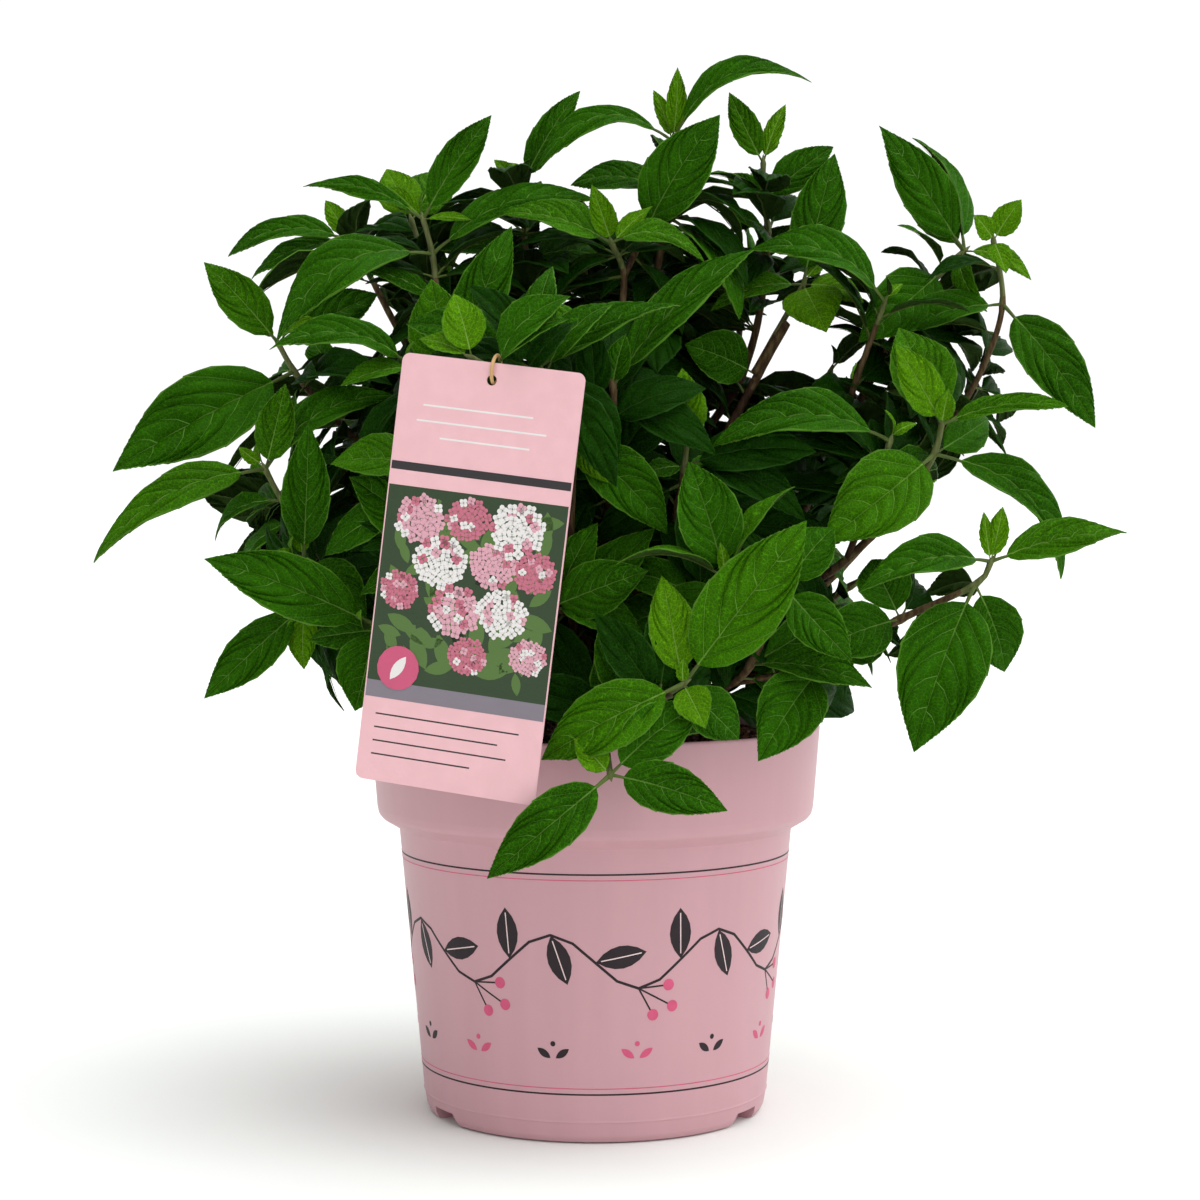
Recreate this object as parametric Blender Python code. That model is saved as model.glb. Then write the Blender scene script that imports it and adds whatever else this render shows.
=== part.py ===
"""A leafy hydrangea shrub in its nursery pot, with a hang tag on a tie.

The pot stands on the ground plane with its axis on Z, and the plant is seen from -Y.
Every size and place in the tables below is in millimetres; the solids are in metres.
"""

import math
import random
from dataclasses import dataclass

import bmesh
import bpy
from mathutils import Matrix, Vector
from mathutils.bvhtree import BVHTree
from mathutils.geometry import interpolate_bezier

MM = 0.001
GAP = 0.3
SHARP_ANGLE = 35
UP = Vector((0, 0, 1))

POT_HEIGHT = 166
POT_WALL = 1.8
POT_RIM_RADIUS = 96.5
BAND_FOOT_RADIUS = 93.6
BODY_TOP_RADIUS = 84.4
BODY_TOP_HEIGHT = 122.2
POT_FOOT_RADIUS = 73
SEAM_HEIGHT = 9.3
POT_SIDES = 36
NOTCH_TURNS = (-122, -58, 58, 122)
NOTCH_WIDTH = 24
NOTCH_HEIGHT = 5.7
NOTCH_DEPTH = 9
NOTCH_SLANT = 7.6

SOIL_TOP = 160
STUMP_RADIUS = 16
STUMP_FLARE = 5
STUMP_NECK = 3
FOOT_SPACING = 24
FOOT_PUSH = 0.03
FOOT_ROUNDS = 200
FOOT_GAP = 0.5
LOWEST_RISE = 0.22

STEM_FOOT_RADIUS = 2.6
STEM_MEET_RADIUS = 1.9
STEM_TIP_RADIUS = 1.0
STEM_START = 14
TWIG_ROOT_RADIUS = 1.5
END_PIECE = 3
PATH_STEP = 24
BUD_LENGTH = 4

LEAF_STATIONS = (0, 0.11, 0.42, 0.76, 1)
LEAF_SPREAD = (0, 0.06, 1.0, 0.70, 0)
LEAF_DEPTH = 0.014
LEAF_CUP = 0.10
BLADE_START = 0.14
CLEARANCE = 0.7
PAIR_SPACING = 24
FORWARD_LIMIT = 12

TAG_WIDTH = 73
TAG_HEIGHT = 165
TAG_THICKNESS = 0.6
TAG_CENTRE = (-48, -133, 233)
TAG_LEAN = 7.1
TAG_TURN = -15
TIE_REACH = 5.5
TIE_CENTRE = (0, 3.5, TAG_HEIGHT / 2 - 2.5)
TIE_RADIUS = 0.7
EYELET_DROP = 6.7
EYELET_RADIUS = 2


def vec(place):
    """A place given in millimetres, as a vector in metres."""
    return Vector(place) * MM


def on_tag(place):
    """A place given on the hang tag, from its middle, as it lies in the whole model."""
    turned_place = Matrix.Rotation(math.radians(TAG_LEAN), 3, "Y") @ Vector(place)
    turned_place.rotate(Matrix.Rotation(math.radians(TAG_TURN), 3, "Z"))
    return tuple(Vector(TAG_CENTRE) + turned_place)


TWIG_IN_TIE = on_tag((0, 4.5, TAG_HEIGHT / 2 - 2.5))


def new_object(name, mesh):
    """Put a mesh into the scene under a plain name."""
    obj = bpy.data.objects.new(name, mesh)
    bpy.context.scene.collection.objects.link(obj)
    return obj


def new_cutter(name, mesh):
    """Put a mesh into the scene as a helper that only cuts."""
    cutter = new_object(name, mesh)
    cutter.hide_render = True
    cutter.display_type = "WIRE"
    return cutter


def cut_by(obj, name, cutter):
    """Take a cutter's shape out of an object with a named Boolean."""
    step = obj.modifiers.new(name, "BOOLEAN")
    step.operation = "DIFFERENCE"
    step.object = cutter


def mesh_from(bm, name):
    """Turn a finished bmesh into a mesh whose faces point out."""
    bmesh.ops.recalc_face_normals(bm, faces=bm.faces)
    mesh = bpy.data.meshes.new(name)
    bm.to_mesh(mesh)
    bm.free()
    return mesh


def material(name, colour, roughness, metallic=0.0):
    """A plain Principled material."""
    finish = bpy.data.materials.new(name)
    finish.use_nodes = True
    shader = finish.node_tree.nodes["Principled BSDF"]
    shader.inputs["Base Color"].default_value = (*colour, 1)
    shader.inputs["Roughness"].default_value = roughness
    shader.inputs["Metallic"].default_value = metallic
    return finish


def turned(profile, sides, name):
    """Spin a profile of (radius, height) points, in millimetres, about Z."""
    bm = bmesh.new()
    verts = [bm.verts.new((radius * MM, 0, height * MM)) for radius, height in profile]
    edges = [bm.edges.new(pair) for pair in zip(verts, verts[1:])]
    bmesh.ops.spin(
        bm, geom=verts + edges, axis=UP, cent=(0, 0, 0), angle=math.tau, steps=sides, use_merge=True
    )
    bmesh.ops.remove_doubles(bm, verts=bm.verts, dist=1e-6)
    mesh = mesh_from(bm, name)
    mesh.shade_smooth()
    mesh.set_sharp_from_angle(angle=math.radians(SHARP_ANGLE))
    return mesh


def pot_outline():
    """The pot's outer side from the centre of its underside to the top of its rim."""
    return [
        (0, 0),
        (POT_FOOT_RADIUS - 4, 0),
        (POT_FOOT_RADIUS - 1.5, 0.8),
        (POT_FOOT_RADIUS - 0.2, 3),
        (POT_FOOT_RADIUS + 0.9, SEAM_HEIGHT - 0.4),
        (POT_FOOT_RADIUS + 1.2, SEAM_HEIGHT),
        (POT_FOOT_RADIUS + 1.0, SEAM_HEIGHT + 0.4),
        (BODY_TOP_RADIUS, BODY_TOP_HEIGHT),
        (BAND_FOOT_RADIUS - 1.8, BODY_TOP_HEIGHT + 4.4),
        (BAND_FOOT_RADIUS, BODY_TOP_HEIGHT + 8.4),
        (POT_RIM_RADIUS, POT_HEIGHT - 1),
        (POT_RIM_RADIUS - 0.5, POT_HEIGHT),
    ]


def pot_lining():
    """The pot's inner side from the top of its rim down to the middle of its floor."""
    return [
        (POT_RIM_RADIUS - POT_WALL + 0.3, POT_HEIGHT),
        (POT_RIM_RADIUS - POT_WALL, POT_HEIGHT - 1),
        (BAND_FOOT_RADIUS - POT_WALL, BODY_TOP_HEIGHT + 8.4),
        (BAND_FOOT_RADIUS - POT_WALL - 1.6, BODY_TOP_HEIGHT + 5.6),
        (BODY_TOP_RADIUS - POT_WALL, BODY_TOP_HEIGHT + 1),
        (POT_FOOT_RADIUS - POT_WALL, SEAM_HEIGHT + 1),
        (POT_FOOT_RADIUS - NOTCH_DEPTH - POT_WALL, SEAM_HEIGHT - 1),
        (POT_FOOT_RADIUS - NOTCH_DEPTH - POT_WALL, POT_WALL),
        (0, POT_WALL),
    ]


def notch_cutter():
    """The wedges that leave a drainage notch in the pot's bottom corner, each with one slanting side."""
    bm = bmesh.new()
    size = (NOTCH_WIDTH, 2 * NOTCH_DEPTH, 2 * NOTCH_HEIGHT)
    for turn in NOTCH_TURNS:
        made = bmesh.ops.create_cube(bm, size=1)["verts"]
        bmesh.ops.scale(bm, verts=made, vec=vec(size))
        side = -math.copysign(1, math.sin(math.radians(2 * turn)))
        slanted = [vert for vert in made if vert.co.z > 0 and vert.co.x * side > 0]
        bmesh.ops.translate(bm, verts=slanted, vec=vec((-side * NOTCH_SLANT, 0, 0)))
        bmesh.ops.translate(bm, verts=made, vec=vec((0, -POT_FOOT_RADIUS, 0)))
        around = Matrix.Rotation(math.radians(turn), 3, "Z")
        bmesh.ops.rotate(bm, verts=made, cent=(0, 0, 0), matrix=around)
    return new_cutter("notch_cutter", mesh_from(bm, "notch_cutter"))


def build_pot():
    """The moulded pot: a tapering body under a wide rim band, with drainage notches."""
    pot = new_object("pot", turned(pot_outline() + pot_lining(), POT_SIDES, "pot"))
    pot.data.materials.append(material("pink_pot_plastic", (0.60, 0.33, 0.36), 0.55))
    cut_by(pot, "drainage_notches", notch_cutter())
    return pot


def build_soil():
    """The potting soil: it fills the pot, 0.3 mm clear of its wall and floor."""
    side = [(radius - GAP, height + GAP) for radius, height in reversed(pot_lining()[2:-1])]
    top = [(93.8, SOIL_TOP - 1), (78, SOIL_TOP - 0.5), (52, SOIL_TOP - 1.5), (30, SOIL_TOP), (0, SOIL_TOP)]
    profile = [(0, POT_WALL + GAP), *side, *top]
    soil = new_object("potting_soil", turned(profile, POT_SIDES, "potting_soil"))
    soil.data.materials.append(material("brown_potting_soil", (0.07, 0.045, 0.03), 0.95))
    return soil


def build_stump():
    """The short woody stump that all the stems leave: domed, flared, cut flat at the soil."""
    foot = SOIL_TOP + GAP
    crown = foot + STUMP_NECK
    steps = 5
    profile = [(0, foot), (STUMP_RADIUS + STUMP_FLARE, foot), (STUMP_RADIUS + 1, foot + 2)]
    for step in range(steps):
        rise = math.pi / 2 * step / steps
        profile.append((STUMP_RADIUS * math.cos(rise), crown + STUMP_RADIUS * math.sin(rise)))
    profile.append((0, crown + STUMP_RADIUS))
    stump = new_object("woody_base", turned(profile, 16, "woody_base"))
    stump.data.materials.append(BARK)
    return stump


def placed_on_tag(mesh):
    """Bring a mesh made in millimetres about the tag's middle to its place."""
    for vert in mesh.vertices:
        vert.co = vec(on_tag(vert.co))
    return mesh


def build_card():
    """The stiff printed card, with its eyelet."""
    bm = bmesh.new()
    made = bmesh.ops.create_cube(bm, size=1)["verts"]
    bmesh.ops.scale(bm, verts=made, vec=(TAG_WIDTH, TAG_THICKNESS, TAG_HEIGHT))
    card = new_object("hang_tag_card", placed_on_tag(mesh_from(bm, "hang_tag_card")))
    card.data.materials.append(material("pink_card", (0.75, 0.45, 0.48), 0.4))
    hole = bmesh.new()
    eyelet_place = Matrix.Translation((0, 0, TAG_HEIGHT / 2 - EYELET_DROP))
    bmesh.ops.create_cone(
        hole,
        cap_ends=True,
        segments=12,
        radius1=EYELET_RADIUS,
        radius2=EYELET_RADIUS,
        depth=4 * TAG_THICKNESS,
        matrix=eyelet_place @ Matrix.Rotation(math.pi / 2, 4, "X"),
    )
    cut_by(card, "eyelet", new_cutter("eyelet_cutter", placed_on_tag(mesh_from(hole, "eyelet_cutter"))))
    return card


def build_tie():
    """The ring of rubber that holds the card to a twig."""
    ring = bmesh.new()
    wire = bmesh.ops.create_circle(ring, segments=6, radius=TIE_RADIUS)["verts"]
    bmesh.ops.translate(ring, verts=wire, vec=(0, TIE_REACH, 0))
    round_wire = ring.verts[:] + ring.edges[:]
    bmesh.ops.spin(
        ring, geom=round_wire, axis=(1, 0, 0), cent=(0, 0, 0), angle=math.tau, steps=20, use_merge=True
    )
    bmesh.ops.remove_doubles(ring, verts=ring.verts, dist=1e-4)
    bmesh.ops.translate(ring, verts=ring.verts, vec=TIE_CENTRE)
    tie = new_object("hang_tag_tie", placed_on_tag(mesh_from(ring, "hang_tag_tie")))
    tie.data.materials.append(material("tan_rubber", (0.55, 0.38, 0.2), 0.5))
    return tie


@dataclass(frozen=True)
class Leaf:
    """One leaf: how far its tip lies from its root, its width, and where its face looks."""

    across: float
    away: float
    up: float
    width: float
    faces: str = "tilt"
    arch: float = 0.10


@dataclass(frozen=True)
class Node:
    """A place on a stem that leaves grow from."""

    at: tuple
    leaves: tuple = ()


@dataclass(frozen=True)
class Shoot:
    """A twig through its bends to its nodes; a side shoot leaves the first one at its fork."""

    nodes: tuple
    bends: tuple = ()
    fork: tuple = ()


@dataclass(frozen=True)
class Mass:
    """The shoots that one stem carries, and the place where that stem ends."""

    name: str
    meets: tuple
    shoots: tuple


FACINGS = {
    "sky": (0, -0.12, 1),
    "tilt": (0, -0.7, 0.8),
    "front": (0, -1, 0.3),
    "left": (-1, -0.5, 0.5),
    "right": (1, -0.5, 0.5),
}

FRONT_MASSES = (
    Mass("left_low", (-62, -32, 204), (
        Shoot(
            bends=((-104, -36, 228), (-131, -32, 262)),
            nodes=(
                Node((-138, -30, 275), (
                    Leaf(-72, -12, -35, 24, "tilt", 0.14),
                    Leaf(53, 8, 32, 21, "tilt", 0.16),
                    Leaf(10, -14, 35, 17, "front", 0.04),
                )),
            ),
        ),
        Shoot(
            fork=(-90, -34, 218),
            bends=((-104, -50, 226),),
            nodes=(
                Node((-119, -60, 238), (
                    Leaf(3, -10, 55, 20, "front", 0.08),
                    Leaf(26, -14, -26, 24, "front", 0.08),
                    Leaf(-2, -4, 25, 9, "front", 0.05),
                )),
            ),
        ),
        Shoot(
            fork=(-100, -35, 224),
            nodes=(
                Node((-120, -40, 219), (
                    Leaf(-42, -10, -38, 20, "front"),
                    Leaf(0, -12, -26, 14, "front", 0.06),
                )),
            ),
        ),
        Shoot(
            fork=(-74, -34, 209),
            bends=((-82, -58, 209),),
            nodes=(
                Node((-88, -78, 212), (
                    Leaf(-67, -10, 28, 26, "front", 0.08),
                    Leaf(-8, -6, -34, 24, "front", 0.08),
                )),
            ),
        ),
    )),
    Mass("left_upper", (-62, 6, 240), (
        Shoot(
            bends=((-96, 4, 281), (-118, 2, 303)),
            nodes=(
                Node((-129, 0, 317), (Leaf(-75, -18, -43, 36, "front"),)),
                Node((-136, 0, 329), (
                    Leaf(-30, -10, 34, 19, "front", 0.06),
                    Leaf(24, -10, 6, 12, "tilt", 0.2),
                    Leaf(42, 12, 23, 22, "front", 0.08),
                )),
            ),
        ),
    )),
    Mass("upper_left", (-32, -12, 240), (
        Shoot(
            bends=((-50, -12, 300), (-58, -12, 330)),
            nodes=(
                Node((-66, -12, 346), (Leaf(-33, -10, 15, 12, "tilt", 0.08),)),
                Node((-69, -10, 366), (
                    Leaf(-67, -14, -33, 29, "tilt", 0.24),
                    Leaf(68, 4, 28, 20, "tilt", 0.16),
                )),
                Node((-73, -10, 381), (
                    Leaf(29, 0, 44, 17, "front", 0.05),
                    Leaf(-49, -6, 17, 12, "tilt"),
                    Leaf(-15, 4, 15, 8, "front", 0.05),
                    Leaf(21, -8, -1, 6, "tilt", 0.05),
                )),
            ),
        ),
        Shoot(
            fork=(-42, -12, 276),
            nodes=(
                Node((-61, -40, 314), (
                    Leaf(26, 0, 62, 22, "front", 0.12),
                    Leaf(-6, -12, 38, 27, "front", 0.06),
                )),
            ),
        ),
        Shoot(
            fork=(-38, -12, 262),
            bends=((-58, -44, 290),),
            nodes=(
                Node((-74, -62, 316), (
                    Leaf(-56, -12, 10, 20, "tilt", 0.18),
                    Leaf(-28, -14, -8, 12, "tilt"),
                )),
            ),
        ),
    )),
    Mass("upper_left_back", (-48, 32, 262), (
        Shoot(
            bends=((-84, 46, 330),),
            nodes=(
                Node((-110, 60, 378), (
                    Leaf(-56, 0, -4, 17, "tilt", 0.18),
                    Leaf(-48, 14, -14, 14, "tilt"),
                    Leaf(-12, 4, 19, 10, "front", 0.05),
                )),
            ),
        ),
        Shoot(
            fork=(-62, 38, 300),
            bends=((-68, 44, 340),),
            nodes=(
                Node((-82, 50, 386), (
                    Leaf(-12, 10, 24, 20, "front", 0.05),
                    Leaf(12, 16, 26, 24, "front", 0.05),
                )),
            ),
        ),
    )),
    Mass("top_left", (-14, 14, 268), (
        Shoot(
            bends=((-24, 16, 320),),
            nodes=(
                Node((-30, 18, 366), (
                    Leaf(-40, 10, 4, 24, "tilt", 0.12),
                    Leaf(38, 24, 2, 24, "tilt", 0.12),
                )),
                Node((-32, 20, 398), (
                    Leaf(25, 4, 43, 14, "front", 0.05),
                    Leaf(-12, 0, 12, 7, "front", 0.05),
                )),
            ),
        ),
    )),
    Mass("top", (14, 8, 292), (
        Shoot(
            bends=((24, 6, 345),),
            nodes=(
                Node((32, 2, 394), (Leaf(-43, 12, 7, 21, "tilt"), Leaf(-16, -14, 8, 14, "tilt", 0.05))),
                Node((33, 0, 415), (
                    Leaf(-59, -6, -12, 17, "tilt", 0.32),
                    Leaf(59, 0, 26, 17, "tilt", 0.28),
                    Leaf(2, -4, 31, 9, "front", 0.05),
                    Leaf(-8, 3, 23, 7, "front", 0.05),
                )),
            ),
        ),
    )),
    Mass("centre_top", (6, -16, 274), (
        Shoot(
            bends=((10, -18, 330), (12, -20, 356)),
            nodes=(
                Node((7, -30, 369), (
                    Leaf(-45, 0, 13, 22, "tilt"),
                    Leaf(38, -10, -5, 16, "tilt", 0.2),
                    Leaf(-8, -10, 23, 11, "front", 0.05),
                    Leaf(17, 6, 16, 9, "tilt", 0.05),
                )),
            ),
        ),
        Shoot(
            fork=(12, -20, 354),
            nodes=(
                Node((20, -12, 373), (Leaf(32, -8, 51, 27, "front", 0.06),)),
            ),
        ),
    )),
    Mass("right_centre", (32, 16, 264), (
        Shoot(
            bends=((64, 18, 316), (72, 19, 346)),
            nodes=(
                Node((75, 20, 378), (Leaf(-22, -10, 10, 11, "tilt", 0.06),)),
                Node((73, 20, 392), (
                    Leaf(31, 6, 24, 17, "front", 0.05),
                    Leaf(-16, 4, 12, 10, "front", 0.05),
                )),
                Node((73, 20, 408), (
                    Leaf(-15, -6, 30, 13, "front", 0.04),
                    Leaf(10, 4, 27, 8, "front", 0.04),
                )),
            ),
        ),
    )),
    Mass("right_centre_low", (42, 0, 262), (
        Shoot(
            bends=((82, -2, 338),),
            nodes=(
                Node((68, -2, 316), (Leaf(-30, -10, 12, 24, "front", 0.08),)),
                Node((89, 0, 354), (
                    Leaf(14, 8, 57, 23, "front", 0.05),
                    Leaf(8, -22, -20, 26, "front", 0.08),
                    Leaf(-40, -8, -9, 14, "tilt", 0.08),
                    Leaf(26, -4, -6, 18, "tilt", 0.08),
                )),
            ),
        ),
    )),
    Mass("right_upper", (78, 6, 238), (
        Shoot(
            bends=((104, 8, 285), (130, 8, 334)),
            nodes=(
                Node((150, 8, 361), (Leaf(-38, -24, -31, 28, "front", 0.08),)),
                Node((159, 10, 369), (
                    Leaf(-37, -10, 53, 23, "front", 0.06),
                    Leaf(-18, 14, 52, 25, "right"),
                    Leaf(-21, 22, 31, 17, "front", 0.05),
                    Leaf(28, -8, -13, 12, "tilt", 0.2),
                    Leaf(8, -16, -27, 12, "left", 0.25),
                )),
            ),
        ),
        Shoot(
            fork=(98, 8, 273),
            bends=((140, 0, 282), (166, -6, 320)),
            nodes=(
                Node((173, -10, 345), (
                    Leaf(38, -12, -52, 25, "front", 0.14),
                    Leaf(-46, 4, -13, 22, "tilt"),
                )),
                Node((169, -10, 372), (
                    Leaf(11, -4, 17, 12, "front", 0.05),
                    Leaf(-9, -8, 10, 10, "front", 0.05),
                    Leaf(4, -10, -14, 10, "front", 0.05),
                )),
            ),
        ),
        Shoot(
            fork=(100, 8, 276),
            bends=((110, -10, 310),),
            nodes=(
                Node((122, -18, 345), (Leaf(-57, -10, 24, 26, "tilt", 0.22),)),
            ),
        ),
    )),
    Mass("right_middle", (64, -34, 212), (
        Shoot(
            bends=((104, -48, 238), (127, -54, 262)),
            nodes=(
                Node((138, -60, 281), (
                    Leaf(-47, -22, -36, 33, "front", 0.08),
                    Leaf(53, 4, -51, 23, "tilt", 0.26),
                )),
                Node((141, -61, 293), (
                    Leaf(-20, -10, 32, 18, "front", 0.05),
                    Leaf(50, -8, 8, 13, "tilt", 0.08),
                    Leaf(-16, 14, 41, 27, "front", 0.05),
                    Leaf(2, -6, 14, 8, "front", 0.05),
                )),
            ),
        ),
        Shoot(
            fork=(110, -50, 244),
            nodes=(
                Node((119, -70, 286), (Leaf(-72, -10, 1, 25, "tilt", 0.16),)),
            ),
        ),
    )),
    Mass("right_low", (62, -42, 190), (
        Shoot(
            bends=((92, -66, 200),),
            nodes=(
                Node((122, -84, 215), (
                    Leaf(-35, -10, -12, 24, "front"),
                    Leaf(-10, 18, 24, 22, "front", 0.08),
                )),
                Node((151, -90, 229), (
                    Leaf(-26, -18, -65, 36, "front", 0.08),
                    Leaf(14, 12, -36, 22, "front", 0.08),
                )),
                Node((157, -91, 238), (
                    Leaf(52, -10, 12, 21, "tilt", 0.06),
                    Leaf(-53, -16, -9, 21, "tilt", 0.12),
                    Leaf(-3, -2, 20, 6, "front", 0.04),
                    Leaf(5, 2, 22, 9, "front", 0.04),
                )),
            ),
        ),
    )),
    Mass("centre", (22, -38, 212), (
        Shoot(
            nodes=(
                Node((38, -74, 220), (Leaf(-34, 0, -14, 24, "tilt"), Leaf(30, 12, 8, 22, "front", 0.08))),
                Node((51, -105, 232), (
                    Leaf(-14, 6, 46, 26, "front", 0.05),
                    Leaf(24, 0, 38, 14, "left", 0.06),
                    Leaf(-42, -14, 9, 14, "sky", 0.12),
                    Leaf(-26, 8, -30, 25, "front", 0.08),
                    Leaf(-2, -3, 14, 5, "front", 0.04),
                )),
            ),
        ),
        Shoot(
            fork=(28, -50, 214),
            bends=((32, -58, 250),),
            nodes=(
                Node((36, -70, 276), (
                    Leaf(-17, -8, -3, 11, "tilt", 0.05),
                    Leaf(18, 10, -6, 16, "tilt", 0.05),
                )),
                Node((37, -71, 286), (Leaf(-2, -12, 28, 19, "front", 0.04),)),
            ),
        ),
    )),
    Mass("front", (4, -58, 180), (
        Shoot(
            nodes=(
                Node((3, -92, 178), (Leaf(-34, 6, 12, 22, "tilt"), Leaf(36, 14, 14, 22, "tilt"))),
                Node((4, -118, 170), (Leaf(-16, 8, -8, 14, "tilt"), Leaf(40, 16, 2, 18, "tilt"))),
                Node((6, -135, 158), (
                    Leaf(44, -12, -12, 20, "front", 0.12),
                    Leaf(-47, -10, -38, 22, "front"),
                    Leaf(-14, 4, 14, 12, "front", 0.05),
                    Leaf(35, 10, 27, 22, "front", 0.08),
                )),
            ),
        ),
        Shoot(
            fork=(3, -104, 174),
            bends=((14, -116, 179),),
            nodes=(
                Node((34, -125, 192), (
                    Leaf(47, -4, 63, 32, "front", 0.06),
                    Leaf(-8, 8, 42, 19, "front", 0.05),
                    Leaf(-55, 0, -29, 26, "front"),
                    Leaf(8, -12, -15, 15, "front", 0.06),
                    Leaf(22, 6, -22, 20, "front", 0.08),
                    Leaf(0, -4, 10, 5, "front", 0.04),
                )),
            ),
        ),
    )),
    Mass("centre_upper", (2, -40, 234), (
        Shoot(
            bends=((6, -66, 272),),
            nodes=(
                Node((7, -80, 308), (
                    Leaf(54, 0, 57, 21, "tilt", 0.05),
                    Leaf(5, -6, 20, 11, "front", 0.04),
                )),
                Node((2, -78, 325), (Leaf(-44, -6, 14, 18, "tilt", 0.12),)),
            ),
        ),
        Shoot(
            fork=(6, -66, 272),
            bends=((0, -88, 300),),
            nodes=(
                Node((-24, -98, 313), (Leaf(57, -6, 26, 19, "tilt", 0.08),)),
                Node((-19, -116, 311)),
                Node((-27, -129, 310.5)),
                Node(TWIG_IN_TIE),
                Node((-47, -129, 317), (
                    Leaf(-7, 6, 25, 17, "front", 0.05),
                    Leaf(-22, 12, 4, 12, "tilt", 0.08),
                )),
            ),
        ),
    )),
    Mass("tag_side", (-8, -50, 198), (
        Shoot(
            nodes=(
                Node((-9, -66, 216), (Leaf(34, 4, 2, 24, "tilt"), Leaf(-32, 8, 6, 22, "tilt"))),
                Node((-10, -80, 240), (Leaf(-20, 6, -14, 20, "front", 0.08),)),
                Node((-8, -82, 286), (
                    Leaf(37, -8, -36, 24, "front", 0.08),
                    Leaf(14, -14, -16, 13, "front", 0.06),
                )),
            ),
        ),
        Shoot(
            fork=(-9, -60, 208),
            nodes=(
                Node((-18, -95, 220), (
                    Leaf(39, -8, 15, 23, "front", 0.08),
                    Leaf(38, -4, -12, 21, "tilt"),
                    Leaf(-30, 4, 10, 24, "tilt"),
                )),
            ),
        ),
    )),
    Mass("right_front_low", (46, -54, 182), (
        Shoot(
            nodes=(
                Node((62, -86, 197), (Leaf(47, -16, -6, 19, "tilt"),)),
                Node((75, -98, 228), (
                    Leaf(25, -16, -28, 20, "front", 0.08),
                    Leaf(20, 8, 24, 20, "front", 0.08),
                )),
            ),
        ),
        Shoot(
            fork=(54, -68, 189),
            nodes=(
                Node((90, -90, 196), (Leaf(-26, -20, -35, 27, "front", 0.08),)),
            ),
        ),
    )),
    Mass("behind_tag", (-34, -46, 196), (
        Shoot(
            bends=((-52, -62, 216),),
            nodes=(
                Node((-62, -74, 246), (Leaf(-36, -6, 26, 24, "front"), Leaf(30, -4, 26, 22, "front"))),
                Node((-66, -78, 274), (
                    Leaf(-40, 0, 4, 24, "tilt", 0.12),
                    Leaf(28, -10, 30, 18, "front", 0.08),
                )),
            ),
        ),
        Shoot(
            fork=(-42, -54, 204),
            nodes=(
                Node((-52, -96, 196), (Leaf(-30, -10, -18, 20, "front"), Leaf(30, -8, -10, 20, "front"))),
            ),
        ),
    )),
)

# heading, then the heading, height and outward reach of each tip, in degrees and millimetres
BACK_MASSES = (
    ("back_right_low", 8, ((-4, 232, 122), (14, 268, 150), (8, 318, 104))),
    ("back_right", 36, ((28, 312, 130), (44, 232, 138), (36, 366, 86))),
    ("back_right_middle", 62, ((54, 274, 142), (70, 330, 116), (66, 212, 120))),
    ("back_centre", 90, ((82, 236, 132), (98, 292, 142), (84, 356, 96), (96, 384, 50))),
    ("back_left_middle", 116, ((110, 220, 128), (118, 336, 118), (128, 272, 138))),
    ("back_left", 144, ((138, 304, 132), (152, 236, 136), (140, 360, 86))),
    ("back_left_low", 170, ((164, 262, 146), (180, 218, 118), (174, 316, 110))),
)
BACK_STEM_REACH = 52
BACK_FORK = 16
# how far below its tip a back shoot's nodes lie, their leaves' length, and how far these lift
BACK_NODES = ((54, 68, 0.0), (33, 66, 0.15), (14, 58, 0.45), (0, 36, 0.95))

CROWN_CENTRE = (2, 22, 288)
CROWN_REACH = (188, 180, 134)
LOW_EDGE = 184
EYE = (2, -1170, 270)
# clear sight lines through the crown: across and height at the pot's axis, and radius
SKY_GAPS = (
    (77, 325, 14),
    (123, 249, 13),
    (115, 223, 8),
    (160, 264, 12),
    (-99, 337, 11),
    (110, 389, 20),
    (2, 412, 14),
    (9, 389, 8),
    (60, 417, 10),
)
# small turns of a leaf's reach, in the order in which they are tried
NUDGES = tuple(
    Vector((across, away, up))
    for away in (0, 5, -5, 10, -10, 16, -16, 22)
    for across, up in ((0, 0), (0, 5), (0, -5), (5, 0), (-5, 0))
)


def smooth_path(stops, step=PATH_STEP):
    """Points about `step` millimetres apart on a smooth curve through the stops."""
    path = [stops[0]]
    for index in range(len(stops) - 1):
        before = stops[max(index - 1, 0)]
        here, there = stops[index], stops[index + 1]
        after = stops[min(index + 2, len(stops) - 1)]
        count = max(2, round((there - here).length / (step * MM)) + 1)
        leave, arrive = here + (there - before) / 6, there - (after - here) / 6
        path += interpolate_bezier(here, leave, arrive, there, count)[1:]
    return path


def budded(path):
    """A twig's path carried on a little past its last leaves, as the bud at its tip."""
    return [*path, path[-1] + (path[-1] - path[-2]).normalized() * BUD_LENGTH * MM]


def nearest(path, place):
    """The index of the path's point that is nearest to a place."""
    return min(range(len(path)), key=lambda index: (path[index] - place).length)


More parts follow.
